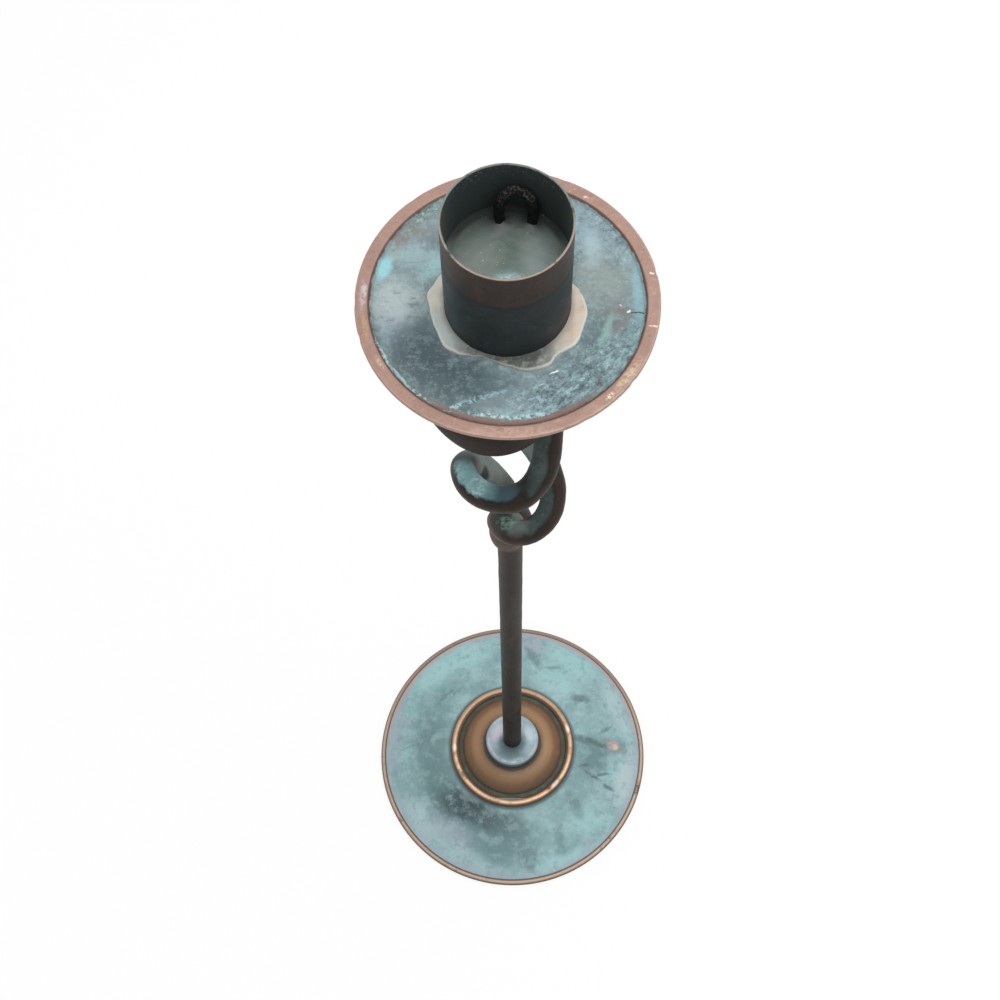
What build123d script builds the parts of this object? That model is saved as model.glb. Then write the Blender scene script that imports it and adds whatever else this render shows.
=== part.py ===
from build123d import *
from math import cos, radians, sin
import os

os.makedirs("parts", exist_ok=True)

# Spiral candle holder in millimetres. +Z is up and the origin is the middle of the foot's resting
# plane. The front, where both strands cross over the stem, looks along -Y. Names that end in Z are
# heights above the resting plane, and angles run from +X over +Y and are in degrees.

# foot dish: thin domed sheet, open below, with a rolled bead as rim
dishR = 47.5
dishHigh = 9.3           # up to the top of its flat middle
dishBeadR = 1.0
dishRestCut = 0.3        # the bead is worn flat where it stands
dishSheet = 1.0
dishSeatR = 22.6         # flat middle under the boss
dishCrown = 0.9          # rise of the dome above the straight line from seat to bead
dishEdgeHigh = 1.5       # top of the sheet where it runs into the bead

# boss: one casting of outer bead, groove and rounded ovolo, measured up from the dish
bossInset = 0.65         # from the rim of the dish's flat middle
bossBeadHalf = 1.37
bossBeadWide = 2.8
bossBeadHigh = 2.0       # at its inner side
grooveWide = 1.75
grooveHigh = 1.2
ovoloStep = 0.7          # upright edge between groove and ovolo
ovoloTopR = 9.7
ovoloHigh = 5.9
ovoloCrown = 0.85

# seat: turned disc on the boss that the stem stands on
seatInset = 0.5
seatHigh = 5.1
seatRound = 0.7

# stem: drawn rod with a threaded tail below and a brazed knuckle on top
rodR = 3.15
stemHigh = 193.4         # from the seat to the knuckle's widest place
tailR = 2.5
tailNose = 0.4
tailBeyondNut = 1.0

# fasteners and the room that they need
boreClear = 0.25
threadClear = 0.05
tailWasherR = 5.0
tailWasherThick = 1.0
tailNutFlats = 8.0
tailNutHigh = 4.0
screwR = 2.0
screwHeadR = 3.6
screwHeadHigh = 1.9
screwHeadRound = 0.7
screwSlotWide = 0.9
screwSlotDeep = 0.8
screwBeyondNut = 1.1
cupWasherR = 4.5
cupWasherThick = 0.8
cupNutFlats = 7.0
cupNutHigh = 3.2
crestShare = 1.02        # a nut's face circle against half its flats
crestTaper = 40

# The knuckle, both strands and the bowl are fitted to each other and to the rod that the strands
# are bent from, so their sizes are shares of the rod's radius.
knuckleShare = 1.46
knuckleTipShare = 0.381
knuckleBelowShare = 3.333
knuckleAboveShare = 3.016
knuckleShiftShares = (-0.19, 0.19)
rodEndShare = 0.54       # the rod ends this far below the knuckle's widest place

coilShare = 3.603        # radius of the wide turn
climbShare = 6.365       # steady rise in a full turn
spiralHighShare = 35.683 # from the knuckle's widest place to the pan

bowlShare = 5.81
bowlDeepShare = 16.635
bowlShiftShare = -0.952  # it sits a little to the left of the stem's line
bowlHipShare = 0.73      # where the side turns in, against both radius and depth
bowlWall = 1.0

# drip pan
panR = 28.41
panSheet = 1.0
panRimUp = 0.8
flangeWide = 2.35
panSlopeWide = 1.0
panEdgeRound = 0.4

# candle cup
cupR = 11.8
cupHigh = 27.6
cupWall = 0.4
cupFloor = 0.6

# wax and wick left from the last candle
waxBelowRim = 13.0
waxMeniscus = 0.7
waxMeniscusWide = 1.6
wickR = 0.87
wickBury = 2.0
# the wick's two feet and its curl between them, as shares of the cup's inner radius
wickFootShares = [(-0.114, 0.711), (0.386, 0.684)]
wickCurlShares = [(-0.127, 0.798, 0.351), (0.132, 0.868, 0.64), (0.404, 0.781, 0.342)]
spillWide = 2.3
spillThick = 0.4
# ripples round the spill: count, height as a share of its width, turn in degrees
spillRippleShares = [(1, 0.5, 80), (2, 0.1, 20), (3, 0.13, 100), (5, 0.11, 10), (9, 0.09, 60)]
spillPoints = 40

# each strand starts at the knuckle, flares out to the wide turn and draws in again at the bowl;
# lifts and draws are a share, the angle where each starts and the angle over which it acts
strandA = {
    "start": 178, "end": 558,
    "coreShare": 0.778, "fromShare": -0.778, "shiftShares": (0, 0),
    "flareAt": 168, "flareOver": 267.5,
    "liftShares": [(12.762, 325, 284)],
    "drawShares": [(1.587, 470, 120)],
}
strandB = {
    "start": 50, "end": 436,
    "coreShare": 1.111, "fromShare": -2.397, "shiftShares": (0.216, -0.175),
    "flareAt": -15.5, "flareOver": 253,
    "liftShares": [(12.873, 25.4, 196.2), (3.365, 255.5, 150), (4.444, 365, 100)],
    "drawShares": [(1.143, 254, 120), (0.794, 380, 90)],
}
strandSteps = 10         # biarcs along a strand
gapPoints = 200          # places along a strand where the gap to the other one is measured
probeAngle = 0.5         # half of the angle over which a strand's direction is read

# sizes that follow
beadZ = dishBeadR - dishRestCut
dishUnderZ = dishHigh - dishSheet
bossBeadR = dishSeatR - bossInset
bossBeadInR = bossBeadR - bossBeadWide
grooveInR = bossBeadInR - grooveWide
grooveZ = dishHigh + grooveHigh
ovoloLowZ = grooveZ + ovoloStep
ovoloTopZ = dishHigh + ovoloHigh
seatR = ovoloTopR - seatInset
seatTopZ = ovoloTopZ + seatHigh
tailBoreR = tailR + boreClear
tailNutZ = dishUnderZ - tailWasherThick - tailNutHigh
tailEndZ = tailNutZ - tailBeyondNut
knuckleZ = seatTopZ + stemHigh
rodTopZ = knuckleZ - rodR * rodEndShare
knuckleX = rodR * knuckleShiftShares[0]
knuckleY = rodR * knuckleShiftShares[1]
coilR = rodR * coilShare
climb = rodR * climbShare
bowlR = rodR * bowlShare
bowlDeep = rodR * bowlDeepShare
panUnderZ = knuckleZ + rodR * spiralHighShare
panFloorZ = panUnderZ + panSheet
screwBoreR = screwR + boreClear
cupInR = cupR - cupWall
cupFloorZ = panFloorZ + cupFloor
cupTopZ = panFloorZ + cupHigh
waxTopZ = cupTopZ - waxBelowRim
cupNutZ = panUnderZ - cupWasherThick - cupNutHigh
screwEndZ = cupNutZ - screwBeyondNut


# smooth step from 0 to 1 with no jump in bend at its ends
def ease(share):
    x = min(max(share, 0), 1)
    return x ** 3 * (10 - 15 * x + 6 * x * x)


def strandPoint(strand, angle):
    flareShare = ease((angle - strand["flareAt"]) / strand["flareOver"])
    coreR = rodR * strand["coreShare"]
    reach = coreR + (coilR - coreR) * flareShare
    height = knuckleZ + rodR * strand["fromShare"] + climb * angle / 360
    for share, at, over in strand["drawShares"]:
        reach -= rodR * share * ease((angle - at) / over)
    for share, at, over in strand["liftShares"]:
        height += rodR * share * ease((angle - at) / over)
    shiftX, shiftY = [rodR * share * flareShare for share in strand["shiftShares"]]
    return Vector(shiftX + reach * cos(radians(angle)), shiftY + reach * sin(radians(angle)), height)


def strandHeading(strand, angle):
    return (strandPoint(strand, angle + probeAngle) - strandPoint(strand, angle - probeAngle)).normalized()


# two arcs that leave and arrive in the given directions and meet without a corner
def biarc(fromPoint, fromHeading, toPoint, toHeading):
    span = toPoint - fromPoint
    both = fromHeading + toHeading
    turn = 2 * (1 - fromHeading.dot(toHeading))
    along = span.dot(both)
    arm = ((along * along + turn * span.dot(span)) ** 0.5 - along) / turn
    early = fromPoint + fromHeading * arm
    late = toPoint - toHeading * arm
    middle = (early + late) * 0.5
    TangentArc(fromPoint, middle, tangent=fromHeading)
    TangentArc(middle, toPoint, tangent=(late - early).normalized())


# one rod of round section along a chain of biarcs
def bentRod(radius, points, headings):
    with BuildPart(mode=Mode.PRIVATE) as rod:
        with BuildLine() as route:
            for number in range(len(points) - 1):
                biarc(points[number], headings[number], points[number + 1], headings[number + 1])
        with BuildSketch(Plane(points[0], z_dir=headings[0])):
            Circle(radius)
        sweep(path=route.wire())
    return rod.part


def strandAngles(strand, count):
    step = (strand["end"] - strand["start"]) / count
    return [strand["start"] + step * number for number in range(count + 1)]


def sweptStrand(strand):
    angles = strandAngles(strand, strandSteps)
    points = [strandPoint(strand, angle) for angle in angles]
    headings = [strandHeading(strand, angle) for angle in angles]
    with BuildPart(mode=Mode.PRIVATE) as rod:
        add(bentRod(rodR, points, headings))
        with Locations(points[0]):
            Sphere(rodR)
    return rod.part


def turnedBowl(outerR, deep):
    with BuildPart(mode=Mode.PRIVATE) as turned:
        with BuildSketch(Plane.XZ):
            with BuildLine():
                rim = Vector(outerR, panUnderZ)
                hip = Vector(outerR * bowlHipShare, panUnderZ - deep * bowlHipShare)
                lowest = Vector(0, panUnderZ - deep)
                side = TangentArc(rim, hip, tangent=(0, -1))
                biarc(hip, side % 1, lowest, Vector(-1, 0))
                Polyline(lowest, (0, panUnderZ), rim)
            make_face()
        revolve(axis=Axis.Z)
    return Location((rodR * bowlShiftShare, 0, 0)) * turned.part


def hexNut(flats, boreR, high, lowZ):
    with BuildPart(mode=Mode.PRIVATE) as nut:
        with BuildSketch(Plane.XY.offset(lowZ)):
            RegularPolygon(flats / 2, 6, major_radius=False)
        extrude(amount=high)
        with BuildSketch(Plane.XY.offset(lowZ)):
            Circle(flats / 2 * crestShare)
        extrude(amount=high, taper=-crestTaper, mode=Mode.INTERSECT)
        with BuildSketch(Plane.XY.offset(lowZ)):
            Circle(boreR)
        extrude(amount=high, mode=Mode.SUBTRACT)
    return nut.part


# foot dish
with BuildPart() as base_dish:
    with BuildSketch(Plane.XZ):
        with BuildLine():
            outerMiddle = ((dishR + dishSeatR) / 2, (dishHigh + dishEdgeHigh) / 2 + dishCrown)
            edgeR = dishR - dishBeadR
            Line((tailBoreR, dishHigh), (dishSeatR, dishHigh))
            ThreePointArc((dishSeatR, dishHigh), outerMiddle, (edgeR, dishEdgeHigh))
            Polyline((edgeR, dishEdgeHigh), (edgeR, beadZ), (edgeR - dishSheet, beadZ))
            ThreePointArc(
                (edgeR - dishSheet, beadZ),
                (outerMiddle[0], outerMiddle[1] - dishSheet),
                (dishSeatR, dishUnderZ),
            )
            Polyline((dishSeatR, dishUnderZ), (tailBoreR, dishUnderZ), (tailBoreR, dishHigh))
        make_face()
    revolve(axis=Axis.Z)
    with BuildSketch(Plane.XZ):
        with Locations((edgeR, beadZ)):
            Circle(dishBeadR)
        with Locations((edgeR, 0)):
            Rectangle(4 * dishBeadR, 2 * dishBeadR, align=(Align.CENTER, Align.MAX), mode=Mode.SUBTRACT)
    revolve(axis=Axis.Z)
base_dish.part.label = "base_dish"

# boss
with BuildPart() as boss_ring:
    with BuildSketch(Plane.XZ):
        beadMiddleR = bossBeadR - bossBeadHalf
        bossBeadZ = dishHigh + bossBeadHalf
        bossBeadTopZ = bossBeadZ + bossBeadHalf
        bossBeadInZ = dishHigh + bossBeadHigh
        ovoloMiddle = (
            (grooveInR + ovoloTopR) / 2 + ovoloCrown / 2,
            (ovoloLowZ + ovoloTopZ) / 2 + ovoloCrown,
        )
        with BuildLine():
            Line((tailBoreR, dishHigh), (beadMiddleR, dishHigh))
            ThreePointArc((beadMiddleR, dishHigh), (bossBeadR, bossBeadZ), (beadMiddleR, bossBeadTopZ))
            TangentArc((beadMiddleR, bossBeadTopZ), (bossBeadInR, bossBeadInZ), tangent=(-1, 0))
            Polyline(
                (bossBeadInR, bossBeadInZ), (bossBeadInR, grooveZ),
                (grooveInR, grooveZ), (grooveInR, ovoloLowZ),
            )
            ThreePointArc((grooveInR, ovoloLowZ), ovoloMiddle, (ovoloTopR, ovoloTopZ))
            Polyline((ovoloTopR, ovoloTopZ), (tailBoreR, ovoloTopZ), (tailBoreR, dishHigh))
        make_face()
    revolve(axis=Axis.Z)
boss_ring.part.label = "boss_ring"

# seat of the stem
with BuildPart() as stem_seat:
    with Locations((0, 0, ovoloTopZ)):
        Cylinder(seatR, seatHigh, align=(Align.CENTER, Align.CENTER, Align.MIN))
    fillet(stem_seat.edges().group_by(Axis.Z)[-1], seatRound)
    with Locations((0, 0, ovoloTopZ)):
        Cylinder(tailBoreR, seatHigh, align=(Align.CENTER, Align.CENTER, Align.MIN), mode=Mode.SUBTRACT)
stem_seat.part.label = "stem_seat"

# stem with tail and knuckle
with BuildPart() as stem:
    with BuildSketch(Plane.XZ):
        Polygon(
            (0, tailEndZ), (tailR - tailNose, tailEndZ), (tailR, tailEndZ + tailNose),
            (tailR, seatTopZ), (rodR, seatTopZ), (rodR, rodTopZ), (0, rodTopZ),
            align=None,
        )
    revolve(axis=Axis.Z)
    with BuildSketch(Plane.XZ.offset(-knuckleY)):
        with BuildLine():
            sideX = knuckleX + rodR * knuckleShare
            tipX = knuckleX + rodR * knuckleTipShare
            lowZ = knuckleZ - rodR * knuckleBelowShare
            highZ = knuckleZ + rodR * knuckleAboveShare
            TangentArc((sideX, knuckleZ), (tipX, lowZ), tangent=(0, -1))
            TangentArc((sideX, knuckleZ), (tipX, highZ), tangent=(0, 1))
            Polyline((tipX, lowZ), (knuckleX, lowZ), (knuckleX, highZ), (tipX, highZ))
        make_face()
    revolve(axis=Axis((knuckleX, knuckleY, 0), (0, 0, 1)))
stem.part.label = "stem"

# washer and nut on the tail
with BuildPart() as tail_washer:
    with BuildSketch(Plane.XY.offset(dishUnderZ - tailWasherThick)):
        Circle(tailWasherR)
        Circle(tailBoreR, mode=Mode.SUBTRACT)
    extrude(amount=tailWasherThick)
tail_washer.part.label = "tail_washer"

with BuildPart() as tail_nut:
    add(hexNut(tailNutFlats, tailR + threadClear, tailNutHigh, tailNutZ))
tail_nut.part.label = "tail_nut"

# bowl
bowlSolid = turnedBowl(bowlR, bowlDeep)
with BuildPart() as support_bowl:
    add(bowlSolid)
    add(turnedBowl(bowlR - bowlWall, bowlDeep - bowlWall), mode=Mode.SUBTRACT)
support_bowl.part.label = "support_bowl"

# the two strands: seated on the stem's knuckle below and against the bowl above
with BuildPart() as spiral_strand_a:
    add(sweptStrand(strandA))
    add(stem.part, mode=Mode.SUBTRACT)
    add(bowlSolid, mode=Mode.SUBTRACT)
spiral_strand_a.part.label = "spiral_strand_a"

with BuildPart() as spiral_strand_b:
    add(sweptStrand(strandB))
    add(stem.part, mode=Mode.SUBTRACT)
    add(bowlSolid, mode=Mode.SUBTRACT)
spiral_strand_b.part.label = "spiral_strand_b"

# pan
with BuildPart() as drip_pan:
    with BuildSketch(Plane.XZ):
        flangeInR = panR - flangeWide
        floorR = flangeInR - panSlopeWide
        rimZ = panFloorZ + panRimUp
        rimUnderZ = rimZ - panSheet
        Polygon(
            (screwBoreR, panFloorZ), (floorR, panFloorZ), (flangeInR, rimZ), (panR, rimZ),
            (panR, rimUnderZ), (flangeInR, rimUnderZ), (floorR, panUnderZ), (screwBoreR, panUnderZ),
            align=None,
        )
    revolve(axis=Axis.Z)
    circles = drip_pan.edges().filter_by(GeomType.CIRCLE)
    fillet(circles.filter_by(lambda edge: edge.radius > panR - panEdgeRound), panEdgeRound)
drip_pan.part.label = "drip_pan"

# cup
with BuildPart() as candle_cup:
    with BuildSketch(Plane.XZ):
        Polygon(
            (screwBoreR, panFloorZ), (cupR, panFloorZ), (cupR, cupTopZ), (cupInR, cupTopZ),
            (cupInR, cupFloorZ), (screwBoreR, cupFloorZ),
            align=None,
        )
    revolve(axis=Axis.Z)
candle_cup.part.label = "candle_cup"

# screw, washer and nut that hold cup and pan together
with BuildPart() as cup_screw:
    with Locations((0, 0, screwEndZ)):
        Cylinder(screwR, cupFloorZ - screwEndZ, align=(Align.CENTER, Align.CENTER, Align.MIN))
    with Locations((0, 0, cupFloorZ)):
        Cylinder(screwHeadR, screwHeadHigh, align=(Align.CENTER, Align.CENTER, Align.MIN))
    fillet(cup_screw.edges().group_by(Axis.Z)[-1], screwHeadRound)
    with Locations((0, 0, cupFloorZ + screwHeadHigh)):
        Box(2 * screwHeadR, screwSlotWide, screwSlotDeep,
            align=(Align.CENTER, Align.CENTER, Align.MAX), mode=Mode.SUBTRACT)
cup_screw.part.label = "cup_screw"

with BuildPart() as cup_washer:
    with BuildSketch(Plane.XY.offset(panUnderZ - cupWasherThick)):
        Circle(cupWasherR)
        Circle(screwBoreR, mode=Mode.SUBTRACT)
    extrude(amount=cupWasherThick)
cup_washer.part.label = "cup_washer"

with BuildPart() as cup_nut:
    add(hexNut(cupNutFlats, screwR + threadClear, cupNutHigh, cupNutZ))
cup_nut.part.label = "cup_nut"

# wick: a charred loop with both feet in the wax
with BuildPart() as wick:
    feet = [Vector(cupInR * x, cupInR * y, waxTopZ - wickBury) for x, y in wickFootShares]
    curl = [Vector(cupInR * x, cupInR * y, waxTopZ + cupInR * up) for x, y, up in wickCurlShares]
    wickPoints = [feet[0], *curl, feet[1]]
    wickHeadings = [(after - before).normalized() for before, after in zip(wickPoints, wickPoints[2:])]
    add(bentRod(wickR, wickPoints, [Vector(0, 0, 1), *wickHeadings, Vector(0, 0, -1)]))
wick.part.label = "wick"

# wax in the cup, poured round the screw's head and the wick
with BuildPart() as wax_stub:
    with BuildSketch(Plane.XZ):
        with BuildLine():
            meniscusZ = waxTopZ + waxMeniscus
            meniscusInR = cupInR - waxMeniscusWide
            Polyline((0, waxTopZ), (0, cupFloorZ), (cupInR, cupFloorZ), (cupInR, meniscusZ))
            TangentArc((meniscusInR, waxTopZ), (cupInR, meniscusZ), tangent=(1, 0))
            Line((meniscusInR, waxTopZ), (0, waxTopZ))
        make_face()
    revolve(axis=Axis.Z)
    with Locations((0, 0, cupFloorZ)):
        Cylinder(screwHeadR, screwHeadHigh, align=(Align.CENTER, Align.CENTER, Align.MIN),
                 mode=Mode.SUBTRACT)
    add(wick.part, mode=Mode.SUBTRACT)
wax_stub.part.label = "wax_stub"

# spilt wax round the cup's foot
with BuildPart() as wax_spill:
    with BuildSketch(Plane.XY.offset(panFloorZ)):
        with BuildLine():
            ragged = []
            for number in range(spillPoints):
                angle = 360 * number / spillPoints
                ripple = sum(share * cos(radians(count * angle + turn))
                             for count, share, turn in spillRippleShares)
                reach = cupR + spillWide * (1 + ripple)
                ragged.append((reach * cos(radians(angle)), reach * sin(radians(angle))))
            Spline(*ragged, periodic=True)
        make_face()
        Circle(cupR, mode=Mode.SUBTRACT)
    extrude(amount=spillThick)
wax_spill.part.label = "wax_spill"

for piece in (
    base_dish, boss_ring, stem_seat, stem, tail_washer, tail_nut, spiral_strand_a, spiral_strand_b,
    support_bowl, drip_pan, candle_cup, cup_screw, cup_washer, cup_nut, wick, wax_stub, wax_spill,
):
    export_step(piece.part, f"parts/{piece.part.label}.step")
    print(piece.part.label, round(piece.part.volume, 1), len(piece.part.solids()), piece.part.is_valid)

routes = [
    [strandPoint(strand, angle) for angle in strandAngles(strand, gapPoints)]
    for strand in (strandA, strandB)
]
leastGap = min((one - two).length for one in routes[0] for two in routes[1]) - 2 * rodR
print("least gap between the strands", round(leastGap, 2))
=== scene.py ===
import math

import bpy
from mathutils import Matrix, Vector, noise


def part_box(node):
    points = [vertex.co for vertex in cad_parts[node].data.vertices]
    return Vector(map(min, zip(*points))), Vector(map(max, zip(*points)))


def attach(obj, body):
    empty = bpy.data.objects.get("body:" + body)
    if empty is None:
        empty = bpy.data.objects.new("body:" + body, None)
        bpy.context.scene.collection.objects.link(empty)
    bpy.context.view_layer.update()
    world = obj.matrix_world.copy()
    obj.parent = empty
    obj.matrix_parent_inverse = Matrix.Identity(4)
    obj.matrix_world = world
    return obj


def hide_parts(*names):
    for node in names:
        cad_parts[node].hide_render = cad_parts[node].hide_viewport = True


# Spiral candle holder: every piece is turned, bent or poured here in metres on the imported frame,
# and the front looks along -Y as in the photograph.
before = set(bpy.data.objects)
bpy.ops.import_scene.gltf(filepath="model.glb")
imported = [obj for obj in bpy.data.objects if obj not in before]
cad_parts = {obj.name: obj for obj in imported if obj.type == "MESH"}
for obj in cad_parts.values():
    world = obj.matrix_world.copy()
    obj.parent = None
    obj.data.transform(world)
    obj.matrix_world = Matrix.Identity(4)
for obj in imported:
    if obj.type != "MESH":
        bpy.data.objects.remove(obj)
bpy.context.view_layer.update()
mm = 0.001
onAxis = 1e-7  # a radius below this is the axis itself
mostRounded = 0.48  # share of a side that a rounding may take
sceneCollection = bpy.context.scene.collection
print("frame loaded")


# shared helpers for shapes

# half width, bottom and top of a node
def reach(node):
    low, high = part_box(node)
    return (high.x - low.x) / 2, low.z, high.z


def ease(share):
    x = min(max(share, 0.0), 1.0)
    return x ** 3 * (10 - 15 * x + 6 * x * x)


def swell(point, size, amount, shift=0.0):
    place = Vector((point[0] / size + shift, point[1] / size - shift, point[2] / size + 2 * shift))
    return amount * noise.noise(place)


def makePiece(name, vertices, faces, nodes, sharpAngle=35):
    mesh = bpy.data.meshes.new(name)
    mesh.from_pydata(vertices, [], faces)
    mesh.validate()
    mesh.shade_smooth()
    mesh.set_sharp_from_angle(angle=math.radians(sharpAngle))
    piece = bpy.data.objects.new(name, mesh)
    sceneCollection.objects.link(piece)
    if nodes:
        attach(piece, "root")
        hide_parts(*nodes)
    return piece


# points on the arc through three places
def arcPoints(start, through, end, steps):
    (ax, ay), (bx, by), (cx, cy) = start, through, end
    double = 2 * (ax * (by - cy) + bx * (cy - ay) + cx * (ay - by))
    aa, bb, cc = ax * ax + ay * ay, bx * bx + by * by, cx * cx + cy * cy
    x = (aa * (by - cy) + bb * (cy - ay) + cc * (ay - by)) / double
    y = (aa * (cx - bx) + bb * (ax - cx) + cc * (bx - ax)) / double
    first = math.atan2(ay - y, ax - x)
    turn = math.tau if double > 0 else -math.tau
    sweep = (math.atan2(cy - y, cx - x) - first) % turn
    radius = math.hypot(ax - x, ay - y)
    angles = [first + sweep * step / steps for step in range(steps + 1)]
    return [(x + radius * math.cos(angle), y + radius * math.sin(angle)) for angle in angles]


# each corner is a radius, a height and how far it is rounded
def roundedCorners(corners, steps=4):
    outline = []
    for number, (r, z, rounding) in enumerate(corners):
        if rounding == 0:
            outline.append((r, z))
            continue
        here = Vector((r, z))
        before = Vector(corners[number - 1][:2])
        after = Vector(corners[(number + 1) % len(corners)][:2])
        comes, leaves = (before - here).normalized(), (after - here).normalized()
        back = rounding / math.tan(comes.angle(leaves) / 2)
        back = min(back, (before - here).length * mostRounded, (after - here).length * mostRounded)
        start, end = here + comes * back, here + leaves * back
        for step in range(steps + 1):
            share = step / steps
            point = start * (1 - share) ** 2 + here * 2 * share * (1 - share) + end * share ** 2
            outline.append(tuple(point))
    return outline


# the outline turned round an axis, each point shifted by change
def turned(outline, sides, change=None, axisPlace=(0.0, 0.0)):
    vertices, rings = [], []
    for r, z in outline:
        if r <= onAxis:
            rings.append([len(vertices)])
            vertices.append((axisPlace[0], axisPlace[1], z))
            continue
        ring = []
        for side in range(sides):
            angle = math.tau * side / sides
            point = (axisPlace[0] + r * math.cos(angle), axisPlace[1] + r * math.sin(angle), z)
            ring.append(len(vertices))
            vertices.append(change(Vector(point), r, z, angle) if change else point)
        rings.append(ring)
    faces = []
    for number, ring in enumerate(rings):
        following = rings[(number + 1) % len(rings)]
        for side in range(sides):
            after = (side + 1) % sides
            if len(ring) > 1 and len(following) > 1:
                faces.append((ring[side], ring[after], following[after], following[side]))
            elif len(ring) > 1:
                faces.append((ring[side], ring[after], following[0]))
            elif len(following) > 1:
                faces.append((ring[0], following[after], following[side]))
    return vertices, faces


# a closed tube along the points, with its frame carried on from ring to ring
def bentTube(points, radii, sides, change):
    vertices, rings = [], []
    last = len(points) - 1
    headings = [(points[min(n + 1, last)] - points[max(n - 1, 0)]).normalized() for n in range(last + 1)]
    normal = headings[0].orthogonal().normalized()
    for number, (point, radius, heading) in enumerate(zip(points, radii, headings)):
        normal = (normal - heading * normal.dot(heading)).normalized()
        across = heading.cross(normal)
        ring = []
        for side in range(sides):
            angle = math.tau * side / sides
            out = normal * math.cos(angle) + across * math.sin(angle)
            ring.append(len(vertices))
            vertices.append(tuple(change(point + out * radius, out, number, angle)))
        rings.append(ring)
    faces = []
    for ring, following in zip(rings, rings[1:]):
        for side in range(sides):
            after = (side + 1) % sides
            faces.append((ring[side], ring[after], following[after], following[side]))
    faces.append(tuple(reversed(rings[0])))
    faces.append(tuple(rings[-1]))
    return vertices, faces


def boolean(piece, other, operation):
    modifier = piece.modifiers.new("boolean", "BOOLEAN")
    modifier.operation = operation
    modifier.solver = "EXACT"
    modifier.object = other
    depsgraph = bpy.context.evaluated_depsgraph_get()
    mesh = bpy.data.meshes.new_from_object(piece.evaluated_get(depsgraph))
    piece.modifiers.clear()
    piece.data = mesh


# shared helpers for finishes: a finish is laid in coats, and all its places are in millimetres;
# in the dictionaries a ground is its tone, roughness and metal, and a coat is its tone, strength and,
# where it changes them, roughness, metal and height
patinaTones = {
    "white": (206, 215, 214), "pale": (164, 188, 192), "mint": (152, 193, 194),
    "turquoise": (142, 197, 203),
    "lilac": (152, 163, 176), "teal": (112, 146, 149), "deep": (94, 123, 126), "slate": (78, 100, 104),
    "ink": (50, 66, 70), "green": (120, 157, 147), "brown": (112, 101, 94), "blush": (176, 152, 147),
}
blotchDetail, blotchRough = 5.0, 0.64
softWide, softClose = 0.6, 0.45  # softness of wide and of small marks
downward = (0.0, 0.0, -1.0)


# a tone of 0 to 255 becomes a linear colour
def colour(tone):
    linear = []
    for level in patinaTones[tone] if isinstance(tone, str) else tone:
        share = level / 255
        linear.append(share / 12.92 if share <= 0.04045 else ((share + 0.055) / 1.055) ** 2.4)
    return (*linear, 1.0)


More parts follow.
